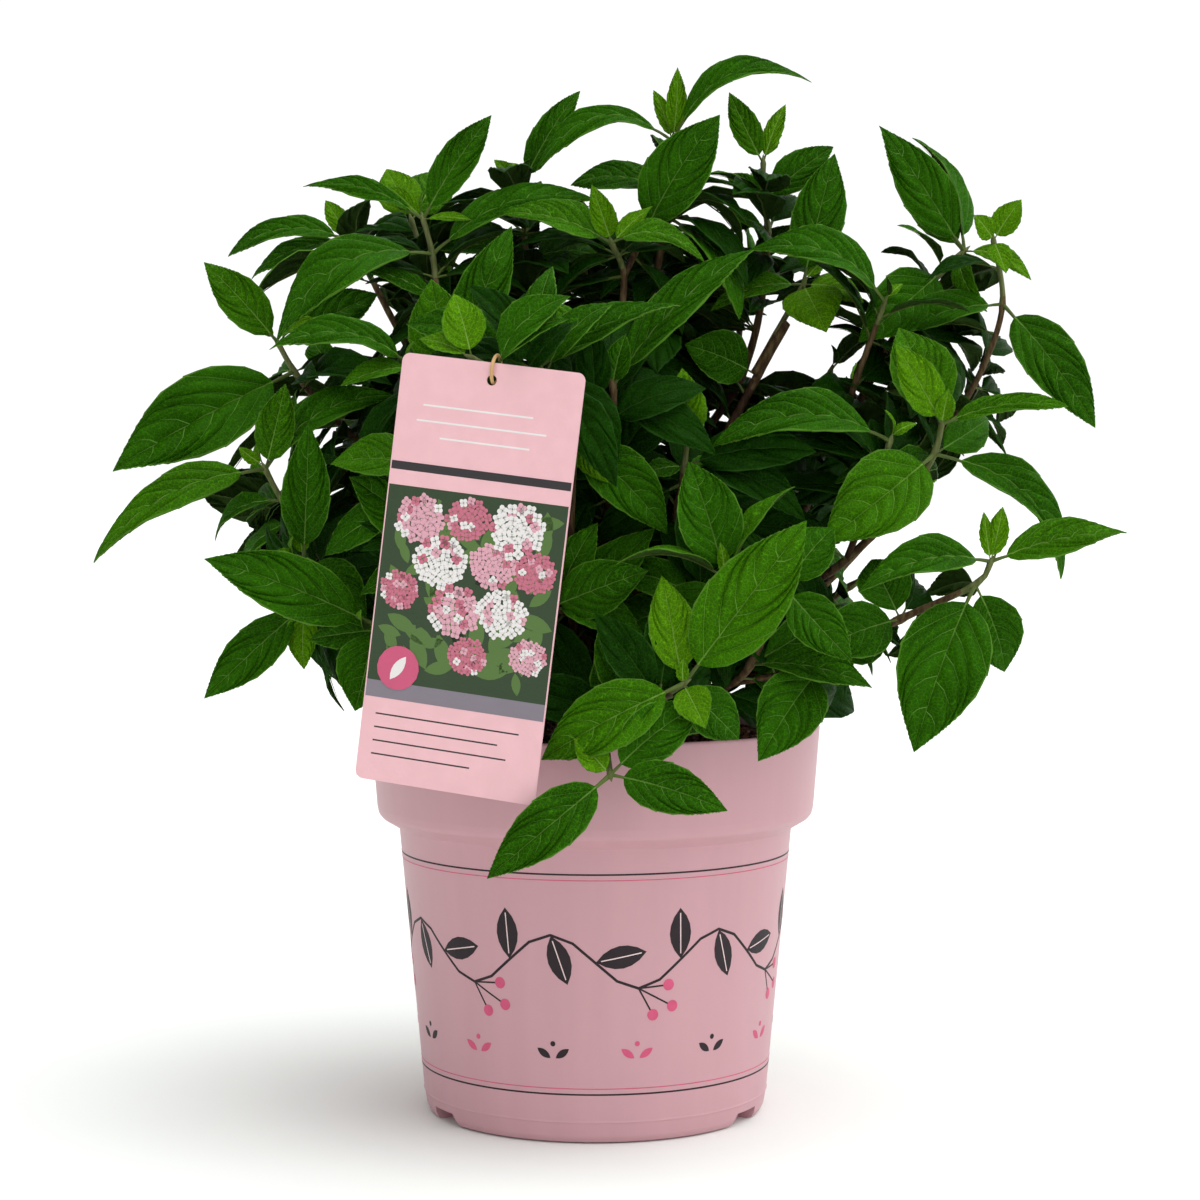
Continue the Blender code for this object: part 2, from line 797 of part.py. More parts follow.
def limb_mesh(name, path, root_radius, tip_radius, sides_level):
    """A closed limb that tapers evenly along its path."""
    curve = bpy.data.curves.new(name, "CURVE")
    curve.dimensions = "3D"
    curve.bevel_depth = 1
    curve.bevel_resolution = sides_level
    curve.use_fill_caps = True
    spline = curve.splines.new("POLY")
    spline.points.add(len(path) - 1)
    for index, place in enumerate(path):
        share = index / (len(path) - 1)
        spline.points[index].co = (*place, 1)
        spline.points[index].radius = (root_radius + (tip_radius - root_radius) * share) * MM
    guide = bpy.data.objects.new(name, curve)
    bm = bmesh.new()
    bm.from_mesh(guide.to_mesh())
    guide.to_mesh_clear()
    bpy.data.objects.remove(guide)
    bpy.data.curves.remove(curve)
    bmesh.ops.remove_doubles(bm, verts=bm.verts, dist=1e-7)
    return mesh_from(bm, name)


def leaf_face(reach, facing):
    """The direction a leaf's upper face looks: square to its reach, nearest to `facing`."""
    along = reach.normalized()
    face = facing - along * facing.dot(along)
    if face.length < 0.05:
        face = along.orthogonal()
    return face.normalized()


def leaf_mesh(root, reach, width, face, arch, margin=0.0):
    """A thin leaf from its petiole to its tip, arched along its length and cupped across."""
    bm = bmesh.new()
    swell = margin * MM
    rings = len(LEAF_STATIONS) - 1
    bmesh.ops.create_uvsphere(bm, u_segments=4, v_segments=rings, radius=1)
    side = reach.cross(face).normalized()
    length = reach.length
    for vert in bm.verts:
        ring = round(math.acos(max(-1, min(1, -vert.co.z))) / math.pi * rings)
        turn = math.atan2(vert.co.y, vert.co.x)
        share = LEAF_STATIONS[ring]
        half_width = (width * MM * LEAF_SPREAD[ring] + swell) / 2
        half_depth = (length * LEAF_DEPTH + swell) / 2 if 0 < ring < rings else 0
        rise = 4 * arch * length * share * (1 - share)
        cup = LEAF_CUP * 2 * half_width * abs(math.cos(turn)) if ring > 1 else 0
        vert.co = (
            root
            + reach * share
            + side * half_width * math.cos(turn)
            + face * (rise + half_depth * math.sin(turn) + cup)
        )
    return bm


class Obstacles:
    """What new leaves have to stay clear of, kept by the name of its owner."""

    def __init__(self):
        self.corners = {}
        self.faces = {}
        self.trees = {}

    def add_mesh(self, owner, mesh):
        """Take in a mesh."""
        corners = self.corners.setdefault(owner, [])
        start = len(corners)
        corners += [vert.co.copy() for vert in mesh.vertices]
        faces = self.faces.setdefault(owner, [])
        faces += [[index + start for index in face.vertices] for face in mesh.polygons]
        self.trees.pop(owner, None)

    def touched_by(self, bm, own):
        """Whether a mesh touches a solid of any owner that isn't in `own`."""
        probe = BVHTree.FromBMesh(bm)
        for owner, corners in self.corners.items():
            if owner in own:
                continue
            if owner not in self.trees:
                self.trees[owner] = BVHTree.FromPolygons(corners, self.faces[owner])
            if self.trees[owner].overlap(probe):
                return True
        return False


def facing_of(leaf, root):
    """The direction that a leaf's face turns to: a named one, or out of the crown and up."""
    if leaf.faces == "out":
        return (root - vec(CROWN_CENTRE)).normalized() + UP * 0.7
    return Vector(FACINGS[leaf.faces])


def settled_leaf(root, leaf, obstacles, owner):
    """The leaf's mesh at the first small turn of its reach that keeps it clear, or None."""
    own = ("limbs_" + owner, "leaves_" + owner)
    facing = facing_of(leaf, root)
    wanted = Vector((leaf.across, leaf.away, leaf.up))
    for nudge in NUDGES:
        reach = (wanted + nudge).normalized() * wanted.length * MM
        face = leaf_face(reach, facing)
        probe = leaf_mesh(root, reach, leaf.width, face, leaf.arch, CLEARANCE)
        touches = obstacles.touched_by(probe, own)
        probe.free()
        if not touches:
            return leaf_mesh(root, reach, leaf.width, face, leaf.arch)
    return None


def in_crown(place):
    """Whether a place lies inside the crown's outline, above its low edge."""
    offset = (place - vec(CROWN_CENTRE)) / MM
    share = sum((part / reach) ** 2 for part, reach in zip(offset, CROWN_REACH))
    return share < 1 and place.z > LOW_EDGE * MM


def hides_sky(place, half_width):
    """Whether a leaf of this half width at a place would close one of the gaps in the crown."""
    eye = vec(EYE)
    spread = (place.y - eye.y) / -eye.y
    for across, height, radius in SKY_GAPS:
        middle_x = eye.x + (across * MM - eye.x) * spread
        middle_z = eye.z + (height * MM - eye.z) * spread
        if math.hypot(place.x - middle_x, place.z - middle_z) < (radius * MM + half_width) * spread:
            return True
    return False


def filling_leaf(root, leaf, obstacles, owner):
    """A rule-made leaf, or None where it would leave the crown, close a gap or touch anything."""
    reach = vec((leaf.across, leaf.away, leaf.up))
    face = leaf_face(reach, facing_of(leaf, root))
    if not in_crown(root + reach) or (root.y < 0 and reach.y < -FORWARD_LIMIT * MM):
        return None
    if any(hides_sky(root + reach * share, leaf.width * MM * 0.35) for share in (0.3, 0.6, 0.9)):
        return None
    blade_root, blade_reach = root + reach * BLADE_START, reach * (1 - BLADE_START)
    blade = leaf_mesh(blade_root, blade_reach, leaf.width, face, leaf.arch, CLEARANCE)
    whole = leaf_mesh(root, reach, leaf.width, face, leaf.arch, CLEARANCE)
    limbs, leaves = "limbs_" + owner, "leaves_" + owner
    touches = obstacles.touched_by(blade, (limbs,)) or obstacles.touched_by(whole, (limbs, leaves))
    blade.free()
    whole.free()
    return None if touches else leaf_mesh(root, reach, leaf.width, face, leaf.arch)


def opposite_pair(stem, turn, length, rise, rng):
    """Two leaves that face each other across a stem, turned about it by `turn`."""
    first = stem.orthogonal().normalized()
    first.rotate(Matrix.Rotation(turn, 3, stem))
    pair = []
    for side in (1, -1):
        size = length * rng.uniform(0.88, 1.12)
        lift = rise + rng.uniform(-0.15, 0.15)
        reach = (first * side * math.cos(lift) + stem * math.sin(lift)) * size
        reach.z -= 0.12 * size
        pair.append(Leaf(*reach, size * rng.uniform(0.36, 0.44), "out", rng.uniform(0.08, 0.18)))
    return pair


def filling_places(path, rng):
    """Pairs of leaves down a stem, from its upper end, each turned a quarter from the last."""
    turn = rng.uniform(0, math.tau)
    places = []
    walked = 0
    for here, below in zip(path[::-1], path[-2::-1]):
        walked += (here - below).length
        if walked < PAIR_SPACING * MM:
            continue
        walked = 0
        turn += math.pi / 2
        stem = (here - below).normalized()
        places += [(below, leaf) for leaf in opposite_pair(stem, turn, rng.uniform(56, 70), 0.25, rng)]
    return places


def back_mass(name, heading, tips, rng):
    """A mass behind the ones the photograph shows: a stem that forks to several leafy tips."""
    shoots = []
    middle = math.radians(heading)
    meets_height = 180 + 0.4 * (tips[0][1] - 150)
    meets = (BACK_STEM_REACH * math.cos(middle), 8 + BACK_STEM_REACH * math.sin(middle), meets_height)
    for turn, height, reach in tips:
        angle = math.radians(turn)
        tip = Vector((reach * math.cos(angle), 12 + reach * math.sin(angle), height))
        stem = (tip - Vector(meets)).normalized()
        stem = (stem + UP * 0.35).normalized()
        first_turn = rng.uniform(0, math.tau)
        nodes = []
        for below, length, rise in BACK_NODES:
            first_turn += math.pi / 2
            pair = opposite_pair(stem, first_turn, length, rise, rng)
            nodes.append(Node(tuple(tip - stem * below), tuple(pair)))
        fork = tuple(Vector(meets) + stem * BACK_FORK) if shoots else ()
        shoots.append(Shoot(nodes=tuple(nodes), fork=fork))
    return Mass(name, meets, tuple(shoots))


def spread_feet(masses):
    """A direction on the stump for each stem, near its own way but well apart from the rest."""
    centre = vec((0, 0, SOIL_TOP + GAP + STUMP_NECK))
    ways = [(vec(mass.meets) - centre).normalized() for mass in masses]
    for _ in range(FOOT_ROUNDS):
        for index, way in enumerate(ways):
            for other in ways[:index]:
                if way.angle(other) < math.radians(FOOT_SPACING):
                    push = (way - other).normalized() * FOOT_PUSH
                    way += push
                    other -= push
            way.z = max(way.z, LOWEST_RISE)
            way.normalize()
    return [(centre + way * (STUMP_RADIUS + FOOT_GAP) * MM, way) for way in ways]


def union_of(name, meshes):
    """Join closed meshes into one solid with a single Boolean union on a collection."""
    helpers = bpy.data.collections.new(name + "_parts")
    bpy.context.scene.collection.children.link(helpers)
    whole = new_object(name, meshes[0])
    for index, mesh in enumerate(meshes[1:]):
        helpers.objects.link(bpy.data.objects.new(f"{name}_part_{index}", mesh))
    joined = whole.modifiers.new("union", "BOOLEAN")
    joined.operation = "UNION"
    joined.operand_type = "COLLECTION"
    joined.collection = helpers
    joined.solver = "EXACT"
    graph = bpy.context.evaluated_depsgraph_get()
    solid = bpy.data.meshes.new_from_object(whole.evaluated_get(graph))
    whole.modifiers.clear()
    whole.data = solid
    for helper in list(helpers.objects):
        bpy.data.objects.remove(helper, do_unlink=True)
    bpy.data.collections.remove(helpers)
    whole.data.materials.clear()
    whole.data.materials.append(LEAF_GREEN)
    return whole


def build_limbs(mass, foot, way, obstacles):
    """One stem as its own limb, and the twig of its mass that starts 0.3 mm past its end."""
    meets = vec(mass.meets)
    lead = mass.shoots[0]
    bends, knots = map(vec, lead.bends), (vec(node.at) for node in lead.nodes)
    whole = smooth_path([foot, foot + way * STEM_START * MM, meets, *bends, *knots])
    cut = nearest(whole, meets)
    onward = (whole[cut + 1] - whole[cut - 1]).normalized() * MM
    name = "stem_" + mass.name
    stem_path = [*whole[:cut], meets - onward * END_PIECE, meets]
    stem = new_object(name, limb_mesh(name, stem_path, STEM_FOOT_RADIUS, STEM_MEET_RADIUS, 1))
    stem.data.materials.append(BARK)
    obstacles.add_mesh(name, stem.data)
    lead_path = [meets + onward * GAP, meets + onward * END_PIECE, *whole[cut + 1 :]]
    twig = limb_mesh(mass.name, budded(lead_path), STEM_MEET_RADIUS, STEM_TIP_RADIUS, 0)
    obstacles.add_mesh("limbs_" + mass.name, twig)
    return lead_path, twig


def side_twig(mass, side, lead_path, obstacles):
    """A side shoot's path and its twig, or None where the twig would touch another limb."""
    root = lead_path[max(2, nearest(lead_path, vec(side.fork)))]
    knots = (vec(node.at) for node in side.nodes)
    path = smooth_path([root, *map(vec, side.bends), *knots])
    twig = limb_mesh(mass.name, budded(path), TWIG_ROOT_RADIUS, STEM_TIP_RADIUS, 0)
    probe = bmesh.new()
    probe.from_mesh(twig)
    touches = obstacles.touched_by(probe, ("limbs_" + mass.name,))
    probe.free()
    if touches:
        return None
    obstacles.add_mesh("limbs_" + mass.name, twig)
    return path, twig


def build_plant(fixtures):
    """All the stems, then every mass of twigs and leaves, each clear of the rest."""
    rng = random.Random(7)
    masses = [*FRONT_MASSES, *(back_mass(*row, rng) for row in BACK_MASSES)]
    obstacles = Obstacles()
    for fixed in fixtures:
        obstacles.add_mesh(fixed.name, fixed.data)
    pieces = {}
    leads = {}
    for mass, (foot, way) in zip(masses, spread_feet(masses)):
        leads[mass.name], twig = build_limbs(mass, foot, way, obstacles)
        pieces[mass.name] = [twig]
    shown, rule_made, filling = [], [], []
    for mass in masses:
        wanted = shown if mass in FRONT_MASSES else rule_made
        for shoot in mass.shoots:
            path = leads[mass.name]
            if shoot.fork:
                made = side_twig(mass, shoot, path, obstacles)
                if made is None:
                    continue
                path, twig = made
                pieces[mass.name].append(twig)
            wanted += [(mass.name, vec(node.at), leaf) for node in shoot.nodes for leaf in node.leaves]
            bare = path[: nearest(path, vec(shoot.nodes[0].at)) + 1]
            filling += [(mass.name, root, leaf) for root, leaf in filling_places(bare, rng)]
    for make, leaves in ((settled_leaf, shown), (filling_leaf, rule_made + filling)):
        for owner, root, leaf in leaves:
            solid = make(root, leaf, obstacles, owner)
            if solid is not None:
                mesh = mesh_from(solid, "leaf")
                pieces[owner].append(mesh)
                obstacles.add_mesh("leaves_" + owner, mesh)
    for mass in masses:
        union_of("foliage_" + mass.name, pieces[mass.name])


for old in list(bpy.data.objects):
    bpy.data.objects.remove(old, do_unlink=True)

BARK = material("stem_bark", (0.13, 0.09, 0.05), 0.8)
LEAF_GREEN = material("leaf_green", (0.05, 0.14, 0.02), 0.6)

build_plant([build_pot(), build_soil(), build_stump(), build_card(), build_tie()])
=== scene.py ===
"""The looks of a young leafy hydrangea shrub in its nursery pot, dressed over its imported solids.

Places and sizes are in millimetres unless a name says otherwise; meshes are in metres. The pot's
axis is Z, the ground is at 0, and the plant is seen from -Y. The shoots grow by the same tables and
the same seeded rule as the solids, and are then carried on to finer spurs inside the same crown.
"""

import logging
import math
import random
from dataclasses import dataclass, field
from enum import Enum
from typing import Callable

import bmesh
import bpy
import numpy as np
from mathutils import Matrix, Vector, noise
from mathutils.bvhtree import BVHTree
from mathutils.geometry import interpolate_bezier


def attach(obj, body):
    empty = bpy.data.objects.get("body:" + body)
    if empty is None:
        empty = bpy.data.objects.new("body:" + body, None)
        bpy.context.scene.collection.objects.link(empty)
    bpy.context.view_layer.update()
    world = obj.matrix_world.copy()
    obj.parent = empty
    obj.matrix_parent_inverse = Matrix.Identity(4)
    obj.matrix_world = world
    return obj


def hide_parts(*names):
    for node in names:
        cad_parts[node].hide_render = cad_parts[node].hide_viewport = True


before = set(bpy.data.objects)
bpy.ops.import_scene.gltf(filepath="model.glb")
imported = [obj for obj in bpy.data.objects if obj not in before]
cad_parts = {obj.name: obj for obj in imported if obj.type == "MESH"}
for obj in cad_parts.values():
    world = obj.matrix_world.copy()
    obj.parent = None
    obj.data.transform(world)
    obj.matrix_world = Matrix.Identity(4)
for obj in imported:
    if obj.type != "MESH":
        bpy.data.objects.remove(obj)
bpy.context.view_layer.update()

log = logging.getLogger("hydrangea")

MM = 0.001
GAP = 0.3
UP = Vector((0, 0, 1))
BODY = "root"
Colour = tuple[float, float, float]


def vec(place: tuple[float, ...] | Vector) -> Vector:
    """Returns a place given in millimetres as a vector in metres."""
    return Vector(place) * MM


class Value:
    """A number that shader nodes work out, with Python's own operators for its maths."""

    def __init__(self, graph: "Graph", socket: bpy.types.NodeSocket) -> None:
        """Wrap an output socket of a graph's node."""
        self.graph = graph
        self.socket = socket

    def maths(self, operation: str, first: "Value | float", second: "Value | float") -> "Value":
        """Add one Math node.

        Args:
            operation: the node's operation.
            first: its first number.
            second: its second number.

        Returns:
            The node's result.
        """
        return self.graph.value("ShaderNodeMath", {"operation": operation}, {0: first, 1: second})

    def __add__(self, other: "Value | float") -> "Value":
        """Returns the sum."""
        return self.maths("ADD", self, other)

    def __radd__(self, other: "Value | float") -> "Value":
        """Returns the sum, with this number second."""
        return self.maths("ADD", other, self)

    def __sub__(self, other: "Value | float") -> "Value":
        """Returns the difference."""
        return self.maths("SUBTRACT", self, other)

    def __rsub__(self, other: "Value | float") -> "Value":
        """Returns the difference, with this number second."""
        return self.maths("SUBTRACT", other, self)

    def __mul__(self, other: "Value | float") -> "Value":
        """Returns the product."""
        return self.maths("MULTIPLY", self, other)

    def __rmul__(self, other: "Value | float") -> "Value":
        """Returns the product, with this number second."""
        return self.maths("MULTIPLY", other, self)


class Graph:
    """The node tree of one material or world round its shader."""

    def __init__(self, owner: bpy.types.Material | bpy.types.World, shader: str = "Principled BSDF") -> None:
        """Start with an owner's plain tree and its one shader."""
        owner.use_nodes = True
        self.owner = owner
        self.tree = owner.node_tree
        self.shader = self.tree.nodes[shader]

    def node(self, kind: str, settings: dict | None = None, sockets: dict | None = None) -> bpy.types.Node:
        """Add a node.

        Args:
            kind: the node's type.
            settings: its properties, which are set first.
            sockets: a value, a socket or a Value for each input, by name or number.

        Returns:
            The new node.
        """
        made = self.tree.nodes.new(kind)
        for key, setting in (settings or {}).items():
            setattr(made, key, setting)
        for key, wanted in (sockets or {}).items():
            self.join(made.inputs[key], wanted)
        return made

    def join(self, socket: bpy.types.NodeSocket, wanted: object) -> None:
        """Link a socket or a Value to an input, or set the input to a plain value."""
        source = wanted.socket if isinstance(wanted, Value) else wanted
        if isinstance(source, bpy.types.NodeSocket):
            self.tree.links.new(source, socket)
        else:
            socket.default_value = source

    def value(self, kind: str, settings: dict | None = None, sockets: dict | None = None, output: object = 0) -> Value:
        """Add a node, as `node` does, and return one of its outputs as a Value."""
        return Value(self, self.node(kind, settings, sockets).outputs[output])

    def spots(self, scale: tuple[float, float, float] = (1, 1, 1)) -> bpy.types.NodeSocket:
        """Returns the piece's own coordinates in metres, stretched by a scale for each axis."""
        place = self.node("ShaderNodeTexCoord").outputs["Object"]
        return self.node("ShaderNodeMapping", None, {"Vector": place, "Scale": scale}).outputs["Vector"]

    def noise(self, scale: float, detail: float = 2.0, place: bpy.types.NodeSocket | None = None) -> Value:
        """Returns smooth noise from 0 to 1 with `scale` waves in a metre."""
        sockets = {"Vector": place or self.spots(), "Scale": scale, "Detail": detail}
        return self.value("ShaderNodeTexNoise", None, sockets, "Fac")

    def contrast(self, number: Value, low: float, high: float) -> Value:
        """Returns the number spread so that low comes to 0 and high to 1, held between them."""
        sockets = {"Value": number, "From Min": low, "From Max": high}
        return self.value("ShaderNodeMapRange", {"clamp": True}, sockets)

    def mixed(self, share: Value, first: object, second: object) -> bpy.types.NodeSocket:
        """Returns a colour that goes from the first to the second with the share."""
        ends = [(*end, 1) if isinstance(end, tuple) else end for end in (first, second)]
        node = self.node("ShaderNodeMix", {"data_type": "RGBA"}, {0: share, 6: ends[0], 7: ends[1]})
        return node.outputs[2]

    def relief(self, height: Value, depth: float, strength: float = 1.0) -> None:
        """Raise the surface by a height from 0 to 1 times a depth in metres."""
        sockets = {"Height": height, "Distance": depth, "Strength": strength}
        self.join(self.shader.inputs["Normal"], self.node("ShaderNodeBump", None, sockets).outputs["Normal"])

    def surface(self, **inputs: object) -> None:
        """Set inputs of the shader, named with _ for a space."""
        for key, wanted in inputs.items():
            name = "Specular IOR Level" if key == "Specular" else key.replace("_", " ")
            self.join(self.shader.inputs[name], wanted)


class Tone(Enum):
    """How old a leaf looks; the dark tone is also painted shade, for leaves deep inside the crown and down the bare
    stems.
    """

    YOUNG = "young"
    BRIGHT = "bright"
    MATURE = "mature"
    # painted shade: the dark tone stands for the shade inside the crown as well as for older leaves
    DARK = "dark"


@dataclass(frozen=True)
class LeafFinish:
    """A leaf's upper side: green with soft clouding, a fine net of veinlets and a satin shine."""

    name: str
    colour: Colour
    cloud: float = 0.62
    roughness: float = 0.45
    grain_depth: float = 0.00016
    net_size: float = 0.0016
    net_lift: float = 2.4
    shine: float = 0.028

    def make(self) -> bpy.types.Material:
        """Returns the material."""
        graph = Graph(bpy.data.materials.new(self.name))
        deep = tuple(part * self.cloud for part in self.colour)
        pale = tuple(part * self.net_lift for part in self.colour)
        clouds = graph.contrast(graph.noise(38, 3), 0.36, 0.64)
        net = graph.value(
            "ShaderNodeTexVoronoi",
            {"feature": "DISTANCE_TO_EDGE"},
            {"Vector": graph.spots(), "Scale": 1 / self.net_size},
            "Distance",
        )
        cells = graph.contrast(net, 0, 0.09)
        grain = graph.contrast(graph.noise(1500, 2), 0.32, 0.68)
        ground = graph.mixed(0.62 * clouds + 0.38 * grain, deep, self.colour)
        graph.surface(Base_Color=graph.mixed(0.45 + 0.55 * cells, pale, ground), Specular=self.shine)
        graph.surface(Roughness=self.roughness + 0.12 * graph.noise(160))
        graph.relief(cells + 0.5 * grain + 2.6 * graph.noise(340, 1), self.grain_depth, 0.85)
        return graph.owner


@dataclass(frozen=True)
class PlainFinish:
    """A small part's finish: one colour with a little clouding and a slight unevenness."""

    name: str
    colour: Colour
    roughness: float = 0.5
    shine: float = 0.12
    cloud: float = 0.85
    waves: float = 120
    bump_depth: float = 0.00008

    def make(self) -> bpy.types.Material:
        """Returns the material."""
        graph = Graph(bpy.data.materials.new(self.name))
        deep = tuple(part * self.cloud for part in self.colour)
        clouds = graph.contrast(graph.noise(self.waves, 2), 0.35, 0.65)
        graph.surface(Base_Color=graph.mixed(clouds, deep, self.colour), Specular=self.shine)
        graph.surface(Roughness=self.roughness + 0.08 * graph.noise(self.waves * 3))
        graph.relief(graph.noise(self.waves * 8, 2), self.bump_depth)
        return graph.owner


@dataclass(frozen=True)
class BarkFinish:
    """Bark with long fine furrows and paler streaks."""

    name: str
    colour: Colour
    streak: Colour
    roughness: float = 0.62
    furrow_depth: float = 0.0004

    def make(self) -> bpy.types.Material:
        """Returns the material."""
        graph = Graph(bpy.data.materials.new(self.name))
        along = graph.spots((1, 1, 0.22))
        streaks = graph.contrast(graph.noise(620, 4, along), 0.38, 0.66)
        graph.surface(Base_Color=graph.mixed(streaks, self.colour, self.streak), Specular=0.1)
        graph.surface(Roughness=self.roughness + 0.2 * streaks)
        graph.relief(graph.noise(1300, 3, along) + 0.6 * streaks, self.furrow_depth, 0.6)
        return graph.owner


@dataclass(frozen=True)
class SoilFinish:
    """Peaty soil: dark grains among brown ones."""

    name: str
    colour: Colour
    crumb: Colour
    waves: float = 420

    def make(self) -> bpy.types.Material:
        """Returns the material."""
        graph = Graph(bpy.data.materials.new(self.name))
        crumbs = graph.contrast(graph.noise(self.waves, 5), 0.42, 0.62)
        graph.surface(Base_Color=graph.mixed(crumbs, self.colour, self.crumb), Specular=0.08)
        graph.surface(Roughness=0.82 + 0.15 * crumbs)
        graph.relief(graph.noise(self.waves * 2, 5), 0.0012, 0.8)
        return graph.owner


@dataclass(frozen=True)
class PotFinish:
    """Dyed plastic drawn out over a mould: matt, with faint upright streaks and scuffs."""

    name: str
    colour: Colour
    roughness: float = 0.42

    def make(self) -> bpy.types.Material:
        """Returns the material."""
        graph = Graph(bpy.data.materials.new(self.name))
        streaks = graph.noise(90, 2, graph.spots((1, 1, 0.05)))
        scuffs = graph.contrast(graph.noise(240, 4), 0.60, 0.74)
        deep = tuple(part * 0.955 for part in self.colour)
        graph.surface(Base_Color=graph.mixed(graph.contrast(streaks, 0.3, 0.7), deep, self.colour))
        graph.surface(Roughness=self.roughness + 0.06 * streaks + 0.08 * scuffs, Specular=0.32)
        graph.relief(0.6 * streaks + 0.12 * graph.noise(900, 2), 0.0003, 0.35)
        return graph.owner


LEAF_TONES = {
    Tone.YOUNG: LeafFinish("leaf_young", (0.066, 0.184, 0.0022), 0.70, 0.46),
    Tone.BRIGHT: LeafFinish("leaf_bright", (0.0350, 0.130, 0.0014), 0.58, 0.42),
    Tone.MATURE: LeafFinish("leaf_mature", (0.0205, 0.093, 0.0010), 0.50, 0.40),
    # painted shade: this near-black green paints the shade deep inside the crown, besides the leaves' age
    Tone.DARK: LeafFinish("leaf_dark", (0.0058, 0.034, 0.0004), 0.52, 0.40),
}
VEIN_TONES = {
    Tone.YOUNG: PlainFinish("vein_young", (0.125, 0.275, 0.026), 0.5, 0.05),
    Tone.BRIGHT: PlainFinish("vein_bright", (0.115, 0.265, 0.034), 0.5, 0.05),
    Tone.MATURE: PlainFinish("vein_mature", (0.092, 0.220, 0.032), 0.5, 0.05),
    # painted shade: dark veins for the leaves painted dark as shade inside the crown
    Tone.DARK: PlainFinish("vein_dark", (0.014, 0.054, 0.005), 0.5, 0.04),
}
MIDRIB_TONES = {
    Tone.YOUNG: PlainFinish("midrib_young", (0.170, 0.310, 0.046), 0.5, 0.06),
    Tone.BRIGHT: PlainFinish("midrib_bright", (0.150, 0.290, 0.044), 0.5, 0.06),
    Tone.MATURE: PlainFinish("midrib_mature", (0.118, 0.240, 0.040), 0.5, 0.06),
    # painted shade: dark midribs for the leaves painted dark as shade inside the crown
    Tone.DARK: PlainFinish("midrib_dark", (0.024, 0.068, 0.008), 0.5, 0.05),
}
RIM = PlainFinish("leaf_rim", (0.064, 0.165, 0.014), 0.5, 0.05)
UNDERSIDE = LeafFinish("leaf_underside", (0.034, 0.074, 0.0125), 0.78, 0.66, 0.00030, 0.0019, 1.4)
PETIOLE = PlainFinish("leaf_stalk", (0.085, 0.125, 0.028), 0.5, 0.12, 0.7, 90)
OLD_BARK = BarkFinish("bark_old", (0.026, 0.013, 0.007), (0.080, 0.044, 0.024))
MIDDLE_BARK = BarkFinish("bark_middle", (0.058, 0.032, 0.015), (0.130, 0.090, 0.042))
GREEN_BARK = BarkFinish("bark_green", (0.070, 0.088, 0.024), (0.135, 0.150, 0.058), 0.5, 0.0002)
POT_PLASTIC = PotFinish("pot_plastic", (0.535, 0.302, 0.335))
SOIL = SoilFinish("potting_soil", (0.022, 0.010, 0.006), (0.130, 0.056, 0.028))
FIBRE = PlainFinish("soil_fibre", (0.30, 0.115, 0.052), 0.8, 0.08, 0.45, 300)
TIE_RUBBER = PlainFinish("tie_rubber", (0.58, 0.36, 0.16), 0.45)


class Facing(Enum):
    """The way that a leaf's upper side turns."""

    SKY = (0, -0.12, 1)
    TILT = (0, -0.7, 0.8)
    FRONT = (0, -1, 0.3)
    LEFT = (-1, -0.5, 0.5)
    RIGHT = (1, -0.5, 0.5)
    OUT = None


@dataclass(frozen=True)
class Leaf:
    """One leaf: how far its tip lies from its root, its width, and the way that it faces."""

    across: float
    away: float
    up: float
    width: float
    faces: Facing = Facing.TILT
    arch: float = 0.10
    tone: Tone | None = None

    def reach(self) -> Vector:
        """Returns the way from the leaf's root to its tip, in metres."""
        return vec((self.across, self.away, self.up))


@dataclass(frozen=True)
class Node:
    """A place on a stem that leaves grow from."""

    at: tuple[float, float, float]
    leaves: tuple[Leaf, ...] = ()


@dataclass(frozen=True)
class Shoot:
    """A twig through its bends to its nodes; a side shoot leaves the first one at its fork."""

    nodes: tuple[Node, ...]
    bends: tuple[tuple[float, float, float], ...] = ()
    fork: tuple[float, float, float] | tuple[()] = ()


@dataclass(frozen=True)
class Mass:
    """The shoots that one stem carries, and the place where that stem ends."""

    name: str
    meets: tuple[float, float, float]
    shoots: tuple[Shoot, ...]


TAG_WIDTH = 73
TAG_HEIGHT = 165
TAG_THICKNESS = 0.6
TAG_CENTRE = (-48, -133, 233)
TAG_LEAN = 7.1
TAG_TURN = -15


def on_tag(place: tuple[float, float, float] | Vector) -> tuple[float, ...]:
    """Returns a place given on the hang tag, from its middle, as it lies in the whole model."""
    turned_place = Matrix.Rotation(math.radians(TAG_LEAN), 3, "Y") @ Vector(place)
    turned_place.rotate(Matrix.Rotation(math.radians(TAG_TURN), 3, "Z"))
    return tuple(Vector(TAG_CENTRE) + turned_place)


TWIG_IN_TIE = on_tag((0, 4.5, TAG_HEIGHT / 2 - 2.5))

TILT, FRONT = Facing.TILT, Facing.FRONT
YOUNG, BRIGHT, MATURE = Tone.YOUNG, Tone.BRIGHT, Tone.MATURE

